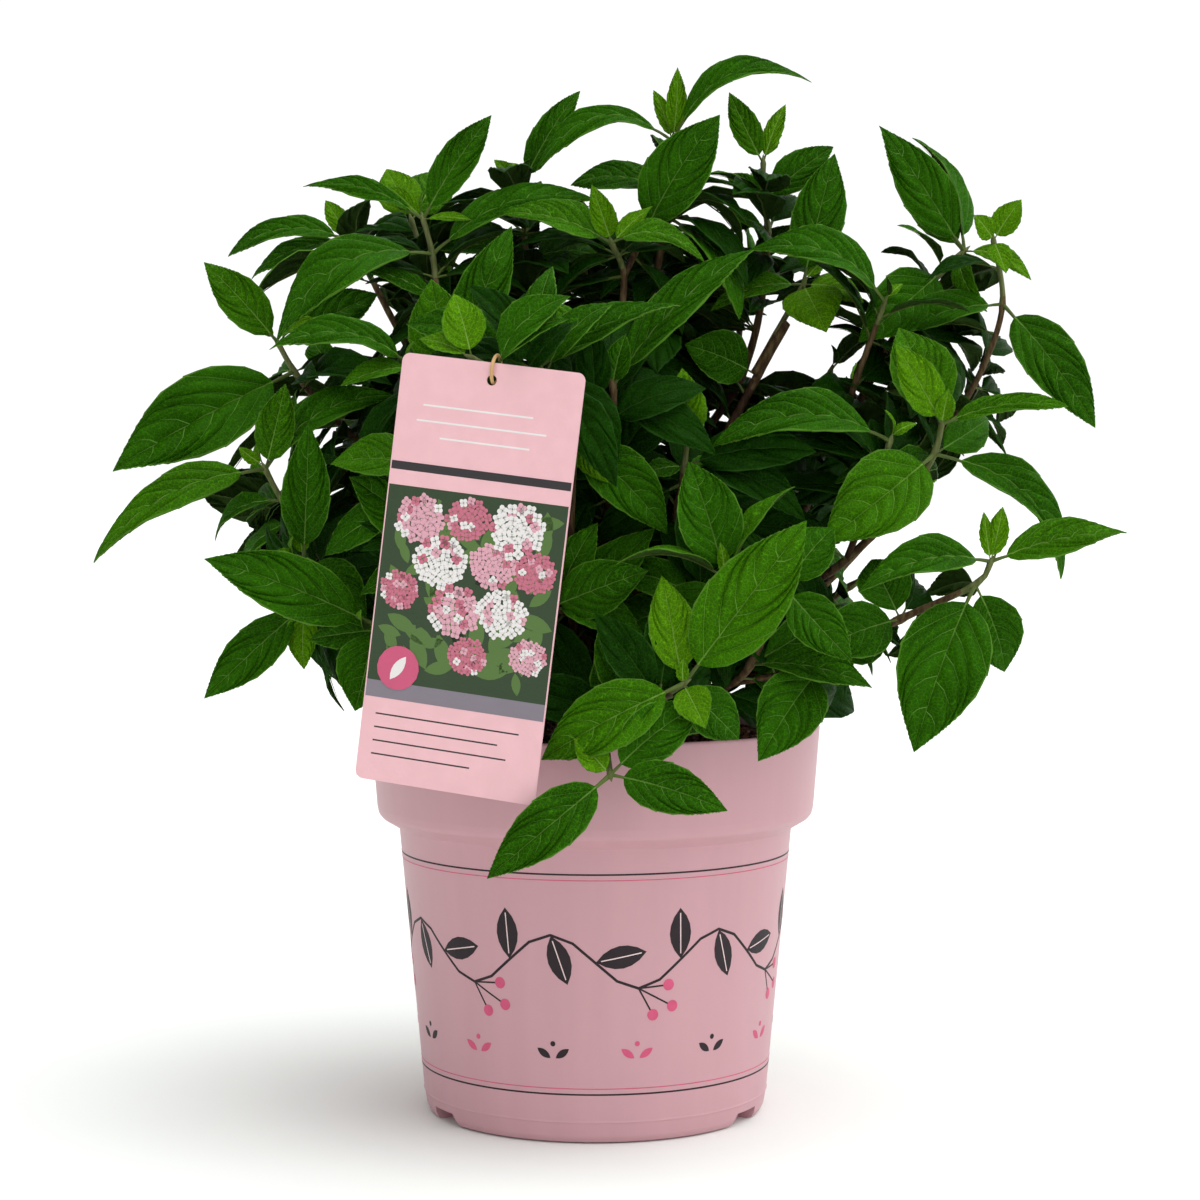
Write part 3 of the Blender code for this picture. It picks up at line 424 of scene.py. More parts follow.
FRONT_MASSES = (
    Mass("left_low", (-62, -32, 204), (
        Shoot(bends=((-104, -36, 228), (-131, -32, 262)), nodes=(
            Node((-138, -30, 275), (
                Leaf(-72, -12, -35, 24, TILT, 0.14, BRIGHT), Leaf(53, 8, 32, 21, TILT, 0.16),
                Leaf(10, -14, 35, 17, FRONT, 0.04),
            )),
        )),
        Shoot(fork=(-90, -34, 218), bends=((-104, -50, 226),), nodes=(
            Node((-119, -60, 238), (
                Leaf(3, -10, 55, 20, FRONT, 0.08), Leaf(26, -14, -26, 24, FRONT, 0.08, MATURE),
                Leaf(-2, -4, 25, 9, FRONT, 0.05),
            )),
        )),
        Shoot(fork=(-100, -35, 224), nodes=(
            Node((-120, -40, 219), (
                Leaf(-42, -10, -38, 20, FRONT), Leaf(0, -12, -26, 14, FRONT, 0.06),
            )),
        )),
        Shoot(fork=(-74, -34, 209), bends=((-82, -58, 209),), nodes=(
            Node((-88, -78, 212), (
                Leaf(-67, -10, 28, 26, FRONT, 0.08), Leaf(-8, -6, -34, 24, FRONT, 0.08, MATURE),
            )),
        )),
    )),
    Mass("left_upper", (-62, 6, 240), (
        Shoot(bends=((-96, 4, 281), (-118, 2, 303)), nodes=(
            Node((-129, 0, 317), (
                Leaf(-75, -18, -43, 36, FRONT),
            )),
            Node((-136, 0, 329), (
                Leaf(-30, -10, 34, 19, FRONT, 0.06), Leaf(24, -10, 6, 12, TILT, 0.2),
                Leaf(42, 12, 23, 22, FRONT, 0.08),
            )),
        )),
    )),
    Mass("upper_left", (-32, -12, 240), (
        Shoot(bends=((-50, -12, 300), (-58, -12, 330)), nodes=(
            Node((-66, -12, 346), (
                Leaf(-33, -10, 15, 12, TILT, 0.08),
            )),
            Node((-69, -10, 366), (
                Leaf(-67, -14, -33, 29, TILT, 0.24), Leaf(68, 4, 28, 20, TILT, 0.16),
            )),
            Node((-73, -10, 381), (
                Leaf(29, 0, 44, 17, FRONT, 0.05), Leaf(-49, -6, 17, 12, TILT),
                Leaf(-15, 4, 15, 8, FRONT, 0.05), Leaf(21, -8, -1, 6, TILT, 0.05),
            )),
        )),
        Shoot(fork=(-42, -12, 276), nodes=(
            Node((-61, -40, 314), (
                Leaf(26, 0, 62, 22, FRONT, 0.12), Leaf(-6, -12, 38, 27, FRONT, 0.06),
            )),
        )),
        Shoot(fork=(-38, -12, 262), bends=((-58, -44, 290),), nodes=(
            Node((-74, -62, 316), (
                Leaf(-56, -12, 10, 20, TILT, 0.18), Leaf(-28, -14, -8, 12, TILT),
            )),
        )),
    )),
    Mass("upper_left_back", (-48, 32, 262), (
        Shoot(bends=((-84, 46, 330),), nodes=(
            Node((-110, 60, 378), (
                Leaf(-56, 0, -4, 17, TILT, 0.18), Leaf(-48, 14, -14, 14, TILT),
                Leaf(-12, 4, 19, 10, FRONT, 0.05),
            )),
        )),
        Shoot(fork=(-62, 38, 300), bends=((-68, 44, 340),), nodes=(
            Node((-82, 50, 386), (
                Leaf(-12, 10, 24, 20, FRONT, 0.05), Leaf(12, 16, 26, 24, FRONT, 0.05),
            )),
        )),
    )),
    Mass("top_left", (-14, 14, 268), (
        Shoot(bends=((-24, 16, 320),), nodes=(
            Node((-30, 18, 366), (
                Leaf(-40, 10, 4, 24, TILT, 0.12), Leaf(38, 24, 2, 24, TILT, 0.12),
            )),
            Node((-32, 20, 398), (
                Leaf(25, 4, 43, 14, FRONT, 0.05), Leaf(-12, 0, 12, 7, FRONT, 0.05),
            )),
        )),
    )),
    Mass("top", (14, 8, 292), (
        Shoot(bends=((24, 6, 345),), nodes=(
            Node((32, 2, 394), (
                Leaf(-43, 12, 7, 21, TILT), Leaf(-16, -14, 8, 14, TILT, 0.05),
            )),
            Node((33, 0, 415), (
                Leaf(-59, -6, -12, 17, TILT, 0.32), Leaf(59, 0, 26, 17, TILT, 0.28),
                Leaf(2, -4, 31, 9, FRONT, 0.05), Leaf(-8, 3, 23, 7, FRONT, 0.05),
            )),
        )),
    )),
    Mass("centre_top", (6, -16, 274), (
        Shoot(bends=((10, -18, 330), (12, -20, 356)), nodes=(
            Node((7, -30, 369), (
                Leaf(-45, 0, 13, 22, TILT), Leaf(38, -10, -5, 16, TILT, 0.2),
                Leaf(-8, -10, 23, 11, FRONT, 0.05), Leaf(17, 6, 16, 9, TILT, 0.05),
            )),
        )),
        Shoot(fork=(12, -20, 354), nodes=(
            Node((20, -12, 373), (
                Leaf(32, -8, 51, 27, FRONT, 0.06),
            )),
        )),
    )),
    Mass("right_centre", (32, 16, 264), (
        Shoot(bends=((64, 18, 316), (72, 19, 346)), nodes=(
            Node((75, 20, 378), (
                Leaf(-22, -10, 10, 11, TILT, 0.06),
            )),
            Node((73, 20, 392), (
                Leaf(31, 6, 24, 17, FRONT, 0.05), Leaf(-16, 4, 12, 10, FRONT, 0.05),
            )),
            Node((73, 20, 408), (
                Leaf(-15, -6, 30, 13, FRONT, 0.04), Leaf(10, 4, 27, 8, FRONT, 0.04),
            )),
        )),
    )),
    Mass("right_centre_low", (42, 0, 262), (
        Shoot(bends=((82, -2, 338),), nodes=(
            Node((68, -2, 316), (
                Leaf(-30, -10, 12, 24, FRONT, 0.08),
            )),
            Node((89, 0, 354), (
                Leaf(14, 8, 57, 23, FRONT, 0.05), Leaf(8, -22, -20, 26, FRONT, 0.08),
                Leaf(-40, -8, -9, 14, TILT, 0.08), Leaf(26, -4, -6, 18, TILT, 0.08),
            )),
        )),
    )),
    Mass("right_upper", (78, 6, 238), (
        Shoot(bends=((104, 8, 285), (130, 8, 334)), nodes=(
            Node((150, 8, 361), (
                Leaf(-38, -24, -31, 28, FRONT, 0.08),
            )),
            Node((159, 10, 369), (
                Leaf(-37, -10, 53, 23, FRONT, 0.06), Leaf(-18, 14, 52, 25, Facing.RIGHT, tone=MATURE),
                Leaf(-21, 22, 31, 17, FRONT, 0.05), Leaf(28, -8, -13, 12, TILT, 0.2),
                Leaf(8, -16, -27, 12, Facing.LEFT, 0.25),
            )),
        )),
        Shoot(fork=(98, 8, 273), bends=((140, 0, 282), (166, -6, 320)), nodes=(
            Node((173, -10, 345), (
                Leaf(38, -12, -52, 25, FRONT, 0.14), Leaf(-46, 4, -13, 22, TILT),
            )),
            Node((169, -10, 372), (
                Leaf(11, -4, 17, 12, FRONT, 0.05), Leaf(-9, -8, 10, 10, FRONT, 0.05),
                Leaf(4, -10, -14, 10, FRONT, 0.05),
            )),
        )),
        Shoot(fork=(100, 8, 276), bends=((110, -10, 310),), nodes=(
            Node((122, -18, 345), (
                Leaf(-57, -10, 24, 26, TILT, 0.22),
            )),
        )),
    )),
    Mass("right_middle", (64, -34, 212), (
        Shoot(bends=((104, -48, 238), (127, -54, 262)), nodes=(
            Node((138, -60, 281), (
                Leaf(-47, -22, -36, 33, FRONT, 0.08, BRIGHT), Leaf(53, 4, -51, 23, TILT, 0.26),
            )),
            Node((141, -61, 293), (
                Leaf(-20, -10, 32, 18, FRONT, 0.05, YOUNG), Leaf(50, -8, 8, 13, TILT, 0.08, BRIGHT),
                Leaf(-16, 14, 41, 27, FRONT, 0.05), Leaf(2, -6, 14, 8, FRONT, 0.05),
            )),
        )),
        Shoot(fork=(110, -50, 244), nodes=(
            Node((119, -70, 286), (
                Leaf(-72, -10, 1, 25, TILT, 0.16),
            )),
        )),
    )),
    Mass("right_low", (62, -42, 190), (
        Shoot(bends=((92, -66, 200),), nodes=(
            Node((122, -84, 215), (
                Leaf(-35, -10, -12, 24, FRONT), Leaf(-10, 18, 24, 22, FRONT, 0.08),
            )),
            Node((151, -90, 229), (
                Leaf(-26, -18, -65, 36, FRONT, 0.08), Leaf(14, 12, -36, 22, FRONT, 0.08),
            )),
            Node((157, -91, 238), (
                Leaf(52, -10, 12, 21, TILT, 0.06, BRIGHT), Leaf(-53, -16, -9, 21, TILT, 0.12),
                Leaf(-3, -2, 20, 6, FRONT, 0.04), Leaf(5, 2, 22, 9, FRONT, 0.04),
            )),
        )),
    )),
    Mass("centre", (22, -38, 212), (
        Shoot(nodes=(
            Node((38, -74, 220), (
                Leaf(-34, 0, -14, 24, TILT), Leaf(30, 12, 8, 22, FRONT, 0.08),
            )),
            Node((51, -105, 232), (
                Leaf(-14, 6, 46, 26, FRONT, 0.05, MATURE), Leaf(24, 0, 38, 14, Facing.LEFT, 0.06),
                Leaf(-42, -14, 9, 14, Facing.SKY, 0.12), Leaf(-26, 8, -30, 25, FRONT, 0.08, MATURE),
                Leaf(-2, -3, 14, 5, FRONT, 0.04),
            )),
        )),
        Shoot(fork=(28, -50, 214), bends=((32, -58, 250),), nodes=(
            Node((36, -70, 276), (
                Leaf(-17, -8, -3, 11, TILT, 0.05), Leaf(18, 10, -6, 16, TILT, 0.05),
            )),
            Node((37, -71, 286), (
                Leaf(-2, -12, 28, 19, FRONT, 0.04),
            )),
        )),
    )),
    Mass("front", (4, -58, 180), (
        Shoot(nodes=(
            Node((3, -92, 178), (
                Leaf(-34, 6, 12, 22, TILT), Leaf(36, 14, 14, 22, TILT),
            )),
            Node((4, -118, 170), (
                Leaf(-16, 8, -8, 14, TILT), Leaf(40, 16, 2, 18, TILT),
            )),
            Node((6, -135, 158), (
                Leaf(44, -12, -12, 20, FRONT, 0.12), Leaf(-47, -10, -38, 22, FRONT),
                Leaf(-14, 4, 14, 12, FRONT, 0.05), Leaf(35, 10, 27, 22, FRONT, 0.08, MATURE),
            )),
        )),
        Shoot(fork=(3, -104, 174), bends=((14, -116, 179),), nodes=(
            Node((34, -125, 192), (
                Leaf(47, -4, 63, 32, FRONT, 0.06, BRIGHT), Leaf(-8, 8, 42, 19, FRONT, 0.05, YOUNG),
                Leaf(-55, 0, -29, 26, FRONT, tone=BRIGHT), Leaf(8, -12, -15, 15, FRONT, 0.06),
                Leaf(22, 6, -22, 20, FRONT, 0.08, MATURE), Leaf(0, -4, 10, 5, FRONT, 0.04),
            )),
        )),
    )),
    Mass("centre_upper", (2, -40, 234), (
        Shoot(bends=((6, -66, 272),), nodes=(
            Node((7, -80, 308), (
                Leaf(54, 0, 57, 21, TILT, 0.05), Leaf(5, -6, 20, 11, FRONT, 0.04),
            )),
            Node((2, -78, 325), (
                Leaf(-44, -6, 14, 18, TILT, 0.12),
            )),
        )),
        Shoot(fork=(6, -66, 272), bends=((0, -88, 300),), nodes=(
            Node((-24, -98, 313), (
                Leaf(57, -6, 26, 19, TILT, 0.08),
            )),
            Node((-19, -116, 311)),
            Node((-27, -129, 310.5)),
            Node(TWIG_IN_TIE),
            Node((-47, -129, 317), (
                Leaf(-7, 6, 25, 17, FRONT, 0.05), Leaf(-22, 12, 4, 12, TILT, 0.08, YOUNG),
            )),
        )),
    )),
    Mass("tag_side", (-8, -50, 198), (
        Shoot(nodes=(
            Node((-9, -66, 216), (
                Leaf(34, 4, 2, 24, TILT), Leaf(-32, 8, 6, 22, TILT),
            )),
            Node((-10, -80, 240), (
                Leaf(-20, 6, -14, 20, FRONT, 0.08),
            )),
            Node((-8, -82, 286), (
                Leaf(37, -8, -36, 24, FRONT, 0.08), Leaf(14, -14, -16, 13, FRONT, 0.06),
            )),
        )),
        Shoot(fork=(-9, -60, 208), nodes=(
            Node((-18, -95, 220), (
                Leaf(39, -8, 15, 23, FRONT, 0.08, MATURE), Leaf(38, -4, -12, 21, TILT, tone=MATURE),
                Leaf(-30, 4, 10, 24, TILT, tone=MATURE),
            )),
        )),
    )),
    Mass("right_front_low", (46, -54, 182), (
        Shoot(nodes=(
            Node((62, -86, 197), (
                Leaf(47, -16, -6, 19, TILT),
            )),
            Node((75, -98, 228), (
                Leaf(25, -16, -28, 20, FRONT, 0.08, MATURE), Leaf(20, 8, 24, 20, FRONT, 0.08, MATURE),
            )),
        )),
        Shoot(fork=(54, -68, 189), nodes=(
            Node((90, -90, 196), (
                Leaf(-26, -20, -35, 27, FRONT, 0.08),
            )),
        )),
    )),
    Mass("behind_tag", (-34, -46, 196), (
        Shoot(bends=((-52, -62, 216),), nodes=(
            Node((-62, -74, 246), (
                Leaf(-36, -6, 26, 24, FRONT), Leaf(30, -4, 26, 22, FRONT),
            )),
            Node((-66, -78, 274), (
                Leaf(-40, 0, 4, 24, TILT, 0.12), Leaf(28, -10, 30, 18, FRONT, 0.08, YOUNG),
            )),
        )),
        Shoot(fork=(-42, -54, 204), nodes=(
            Node((-52, -96, 196), (
                Leaf(-30, -10, -18, 20, FRONT), Leaf(30, -8, -10, 20, FRONT),
            )),
        )),
    )),
)

# heading, then the heading, height and outward reach of each tip, in degrees and millimetres
BACK_MASSES = (
    ("back_right_low", 8, ((-4, 232, 122), (14, 268, 150), (8, 318, 104))),
    ("back_right", 36, ((28, 312, 130), (44, 232, 138), (36, 366, 86))),
    ("back_right_middle", 62, ((54, 274, 142), (70, 330, 116), (66, 212, 120))),
    ("back_centre", 90, ((82, 236, 132), (98, 292, 142), (84, 356, 96), (96, 384, 50))),
    ("back_left_middle", 116, ((110, 220, 128), (118, 336, 118), (128, 272, 138))),
    ("back_left", 144, ((138, 304, 132), (152, 236, 136), (140, 360, 86))),
    ("back_left_low", 170, ((164, 262, 146), (180, 218, 118), (174, 316, 110))),
)
# clear sight lines through the crown: across and height at the pot's axis, and radius
SKY_GAPS = (
    (77, 325, 14),
    (123, 249, 13),
    (115, 223, 8),
    (160, 264, 12),
    (-99, 337, 11),
    (110, 389, 20),
    (2, 412, 14),
    (9, 389, 8),
    (60, 417, 10),
)
EYE = (2, -1170, 270)
CROWN_CENTRE = (2, 22, 288)
CROWN_REACH = (188, 180, 134)
LOW_EDGE = 184
# inside this share of the crown, leaves get a darker tone as painted shade
OUTER_SHARE = 0.45
SHORT_LEAF = 32
LONG_LEAF = 47
POT_MOUTH = 122
SPUR_LOW_EDGE = 167
BACK_STEM_REACH = 52
BACK_FORK = 16
# how far below its tip a back shoot's nodes lie, their leaves' length, and how far these lift
BACK_NODES = ((54, 68, 0.0), (33, 66, 0.15), (14, 58, 0.45), (0, 36, 0.95))
SOIL_TOP = 160
STUMP_RADIUS = 16
STUMP_NECK = 3
FOOT_SPACING = 24
FOOT_PUSH = 0.03
FOOT_ROUNDS = 200
FOOT_GAP = 0.5
LOWEST_RISE = 0.22
STEM_FOOT_RADIUS = 2.6
STEM_MEET_RADIUS = 1.9
STEM_TIP_RADIUS = 1.0
STEM_START = 14
TWIG_ROOT_RADIUS = 1.5
END_PIECE = 3
PATH_STEP = 24
BUD_LENGTH = 4
PAIR_SPACING = 24
FORWARD_LIMIT = 12
LEAF_STATIONS = (0, 0.11, 0.42, 0.76, 1)
LEAF_SPREAD = (0, 0.06, 1.0, 0.70, 0)
LEAF_DEPTH = 0.014
LEAF_CUP = 0.10
CLEARANCE = 0.7 * MM
BLADE_START = 0.14
FIXTURES = ("pot", "potting_soil", "woody_base", "hang_tag_card", "hang_tag_tie")
NUDGES = tuple(
    Vector((across, away, up))
    for away in (0, 5, -5, 10, -10, 16, -16, 22)
    for across, up in ((0, 0), (0, 5), (0, -5), (5, 0), (-5, 0))
)


def finished_mesh(bm: bmesh.types.BMesh, name: str, outward: bool = True) -> bpy.types.Mesh:
    """Turn a bmesh into a mesh.

    Args:
        bm: the bmesh, which is freed.
        name: the mesh's name.
        outward: whether its faces are turned out first.

    Returns:
        The mesh.
    """
    if outward:
        bmesh.ops.recalc_face_normals(bm, faces=bm.faces)
    mesh = bpy.data.meshes.new(name)
    bm.to_mesh(mesh)
    bm.free()
    return mesh


def smooth_path(stops: list[Vector], step: float = PATH_STEP) -> list[Vector]:
    """Lay points on a smooth curve through some stops.

    Args:
        stops: places that the curve goes through, in metres.
        step: about how far apart the points lie, in millimetres.

    Returns:
        The points, the stops among them.
    """
    path = [stops[0]]
    for index in range(len(stops) - 1):
        before = stops[max(index - 1, 0)]
        here, there = stops[index], stops[index + 1]
        after = stops[min(index + 2, len(stops) - 1)]
        count = max(2, round((there - here).length / (step * MM)) + 1)
        path += interpolate_bezier(here, here + (there - before) / 6, there - (after - here) / 6, there, count)[1:]
    return path


def budded(path: list[Vector]) -> list[Vector]:
    """Returns a twig's path carried on a little past its last leaves, as the bud at its tip."""
    return [*path, path[-1] + (path[-1] - path[-2]).normalized() * BUD_LENGTH * MM]


def nearest(path: list[Vector], place: Vector) -> int:
    """Returns the index of the path's point that is nearest to a place."""
    return min(range(len(path)), key=lambda index: (path[index] - place).length)


def limb_probe(path: list[Vector], root_radius: float, tip_radius: float, sides_level: int) -> bpy.types.Mesh:
    """Make the plain limb that the rule keeps leaves clear of.

    Args:
        path: the limb's centre line, in metres.
        root_radius: its radius at the root, in millimetres.
        tip_radius: its radius at the tip, in millimetres.
        sides_level: the bevel resolution that sets its number of sides.

    Returns:
        A closed mesh.
    """
    curve = bpy.data.curves.new("limb_probe", "CURVE")
    curve.dimensions = "3D"
    curve.bevel_depth = 1
    curve.bevel_resolution = sides_level
    curve.use_fill_caps = True
    spline = curve.splines.new("POLY")
    spline.points.add(len(path) - 1)
    for index, place in enumerate(path):
        share = index / (len(path) - 1)
        spline.points[index].co = (*place, 1)
        spline.points[index].radius = (root_radius + (tip_radius - root_radius) * share) * MM
    guide = bpy.data.objects.new("limb_probe", curve)
    bm = bmesh.new()
    bm.from_mesh(guide.to_mesh())
    guide.to_mesh_clear()
    bpy.data.objects.remove(guide)
    bpy.data.curves.remove(curve)
    bmesh.ops.remove_doubles(bm, verts=bm.verts, dist=1e-7)
    return finished_mesh(bm, "limb_probe")


def leaf_face(reach: Vector, facing: Vector) -> Vector:
    """Returns the way a leaf's upper side looks: square to its reach, nearest to `facing`."""
    along = reach.normalized()
    face = facing - along * facing.dot(along)
    if face.length < 0.05:
        face = along.orthogonal()
    return face.normalized()


def leaf_probe(root: Vector, reach: Vector, width: float, face: Vector, arch: float, swell: float = 0.0) -> bmesh.types.BMesh:
    """Make the plain leaf that the rule tests.

    Args:
        root: where the stalk leaves its stem.
        reach: the way from there to the tip.
        width: the leaf's width, in millimetres.
        face: the way its upper side looks.
        arch: how high it arches, as a share of its length.
        swell: how much wider and thicker than the leaf it is, in metres.

    Returns:
        A closed shape of a few faces.
    """
    bm = bmesh.new()
    rings = len(LEAF_STATIONS) - 1
    bmesh.ops.create_uvsphere(bm, u_segments=4, v_segments=rings, radius=1)
    side = reach.cross(face).normalized()
    length = reach.length
    for vert in bm.verts:
        ring = round(math.acos(max(-1, min(1, -vert.co.z))) / math.pi * rings)
        turn = math.atan2(vert.co.y, vert.co.x)
        share = LEAF_STATIONS[ring]
        half_width = (width * MM * LEAF_SPREAD[ring] + swell) / 2
        half_depth = (length * LEAF_DEPTH + swell) / 2 if 0 < ring < rings else 0
        rise = 4 * arch * length * share * (1 - share)
        cup = LEAF_CUP * 2 * half_width * abs(math.cos(turn)) if ring > 1 else 0
        vert.co = (
            root + reach * share + side * half_width * math.cos(turn) + face * (rise + half_depth * math.sin(turn) + cup)
        )
    return bm


class Obstacles:
    """What new leaves have to stay clear of, kept by the name of its owner."""

    def __init__(self) -> None:
        """Start with nothing in the way."""
        self.corners: dict[str, list[Vector]] = {}
        self.faces: dict[str, list[list[int]]] = {}
        self.trees: dict[str, BVHTree] = {}

    def add_mesh(self, owner: str, mesh: bpy.types.Mesh) -> None:
        """Take in a mesh.

        Args:
            owner: the name that the mesh is kept under.
            mesh: the mesh.
        """
        corners = self.corners.setdefault(owner, [])
        start = len(corners)
        corners += [vert.co.copy() for vert in mesh.vertices]
        faces = self.faces.setdefault(owner, [])
        faces += [[index + start for index in face.vertices] for face in mesh.polygons]
        self.trees.pop(owner, None)

    def touched_by(self, bm: bmesh.types.BMesh, own: tuple[str, ...]) -> bool:
        """Test a shape against everything that is in the way.

        Args:
            bm: the shape.
            own: the owners that it may touch.

        Returns:
            Whether it touches a solid of any other owner.
        """
        probe = BVHTree.FromBMesh(bm)
        for owner, corners in self.corners.items():
            if owner in own:
                continue
            if owner not in self.trees:
                self.trees[owner] = BVHTree.FromPolygons(corners, self.faces[owner])
            if self.trees[owner].overlap(probe):
                return True
        return False


@dataclass(frozen=True)
class Blade:
    """A leaf that has found its place."""

    root: Vector
    reach: Vector
    face: Vector
    leaf: Leaf
    tone: Tone
    fine: bool = True


@dataclass(frozen=True)
class Twig:
    """A limb that has found its place, with the places of its leaf nodes."""

    path: list[Vector]
    root_radius: float
    tip_radius: float
    knots: list[Vector]
    budded: bool = True


def facing_of(leaf: Leaf, root: Vector) -> Vector:
    """Returns the way a leaf faces: a named one, or out of the crown and up."""
    if leaf.faces is Facing.OUT:
        return (root - vec(CROWN_CENTRE)).normalized() + UP * 0.7
    return Vector(leaf.faces.value)


def crown_share(place: Vector) -> float:
    """Returns how far out in the crown a place lies, from 0 in its middle to 1 at its outline."""
    offset = (place - vec(CROWN_CENTRE)) / MM
    return sum((part / reach) ** 2 for part, reach in zip(offset, CROWN_REACH))


def in_crown(place: Vector) -> bool:
    """Returns whether a place lies inside the crown's outline, above its low edge."""
    return crown_share(place) < 1 and place.z > LOW_EDGE * MM


def over_pot(place: Vector) -> bool:
    """Returns whether a place lies low over the pot, where only the finer spurs may reach."""
    return place.xy.length < POT_MOUTH * MM and place.z > SPUR_LOW_EDGE * MM


def hides_sky(place: Vector, half_width: float) -> bool:
    """Tell whether a leaf would close one of the gaps in the crown.

    Args:
        place: a point on the leaf's middle line.
        half_width: half of its width there, in metres.

    Returns:
        Whether it reaches into a sight line.
    """
    eye = vec(EYE)
    spread = (place.y - eye.y) / -eye.y
    for across, height, radius in SKY_GAPS:
        middle_x = eye.x + (across * MM - eye.x) * spread
        middle_z = eye.z + (height * MM - eye.z) * spread
        if math.hypot(place.x - middle_x, place.z - middle_z) < (radius * MM + half_width) * spread:
            return True
    return False


def opposite_pair(stem: Vector, turn: float, length: float, rise: float, rng: random.Random) -> list[Leaf]:
    """Make two leaves that face each other across a stem.

    Args:
        stem: the stem's direction.
        turn: how far the pair is turned about it, in radians.
        length: about how long the leaves are, in millimetres.
        rise: how far they lift towards the stem's tip, in radians.
        rng: the source of their small differences.

    Returns:
        The two leaves.
    """
    first = stem.orthogonal().normalized()
    first.rotate(Matrix.Rotation(turn, 3, stem))
    pair = []
    for side in (1, -1):
        size = length * rng.uniform(0.88, 1.12)
        lift = rise + rng.uniform(-0.15, 0.15)
        reach = (first * side * math.cos(lift) + stem * math.sin(lift)) * size
        reach.z -= 0.12 * size
        pair.append(Leaf(*reach, size * rng.uniform(0.36, 0.44), Facing.OUT, rng.uniform(0.08, 0.18)))
    return pair


def filling_places(path: list[Vector], rng: random.Random) -> list[tuple[Vector, Leaf]]:
    """Set pairs of leaves down a stem, from its upper end, each turned a quarter from the last.

    Args:
        path: the stem's bare part.
        rng: the source of their small differences.

    Returns:
        Each leaf with its root.
    """
    turn = rng.uniform(0, math.tau)
    places = []
    walked = 0
    for here, below in zip(path[::-1], path[-2::-1]):
        walked += (here - below).length
        if walked < PAIR_SPACING * MM:
            continue
        walked = 0
        turn += math.pi / 2
        stem = (here - below).normalized()
        places += [(below, leaf) for leaf in opposite_pair(stem, turn, rng.uniform(56, 70), 0.25, rng)]
    return places


def back_mass(name: str, heading: float, tips: tuple, rng: random.Random) -> Mass:
    """Make a mass behind the ones that the photograph shows.

    Args:
        name: the mass's name.
        heading: the way its stem leaves the middle, in degrees.
        tips: the heading, height and outward reach of each of its shoots' tips.
        rng: the source of their small differences.

    Returns:
        A stem that forks to several leafy tips.
    """
    shoots = []
    middle = math.radians(heading)
    meets_height = 180 + 0.4 * (tips[0][1] - 150)
    meets = (BACK_STEM_REACH * math.cos(middle), 8 + BACK_STEM_REACH * math.sin(middle), meets_height)
    for turn, height, reach in tips:
        angle = math.radians(turn)
        tip = Vector((reach * math.cos(angle), 12 + reach * math.sin(angle), height))
        stem = (tip - Vector(meets)).normalized()
        stem = (stem + UP * 0.35).normalized()
        first_turn = rng.uniform(0, math.tau)
        nodes = []
        for below, length, rise in BACK_NODES:
            first_turn += math.pi / 2
            pair = opposite_pair(stem, first_turn, length, rise, rng)
            nodes.append(Node(tuple(tip - stem * below), tuple(pair)))
        fork = tuple(Vector(meets) + stem * BACK_FORK) if shoots else ()
        shoots.append(Shoot(nodes=tuple(nodes), fork=fork))
    return Mass(name, meets, tuple(shoots))


def spread_feet(masses: list[Mass]) -> list[tuple[Vector, Vector]]:
    """Find a place on the woody base for each stem, near its own way but well apart from the rest.

    Args:
        masses: the masses whose stems leave it.

    Returns:
        The foot and the first direction of each stem.
    """
    centre = vec((0, 0, SOIL_TOP + GAP + STUMP_NECK))
    ways = [(vec(mass.meets) - centre).normalized() for mass in masses]
    for _ in range(FOOT_ROUNDS):
        for index, way in enumerate(ways):
            for other in ways[:index]:
                if way.angle(other) < math.radians(FOOT_SPACING):
                    push = (way - other).normalized() * FOOT_PUSH
                    way += push
                    other -= push
            way.z = max(way.z, LOWEST_RISE)
            way.normalize()
    return [(centre + way * (STUMP_RADIUS + FOOT_GAP) * MM, way) for way in ways]


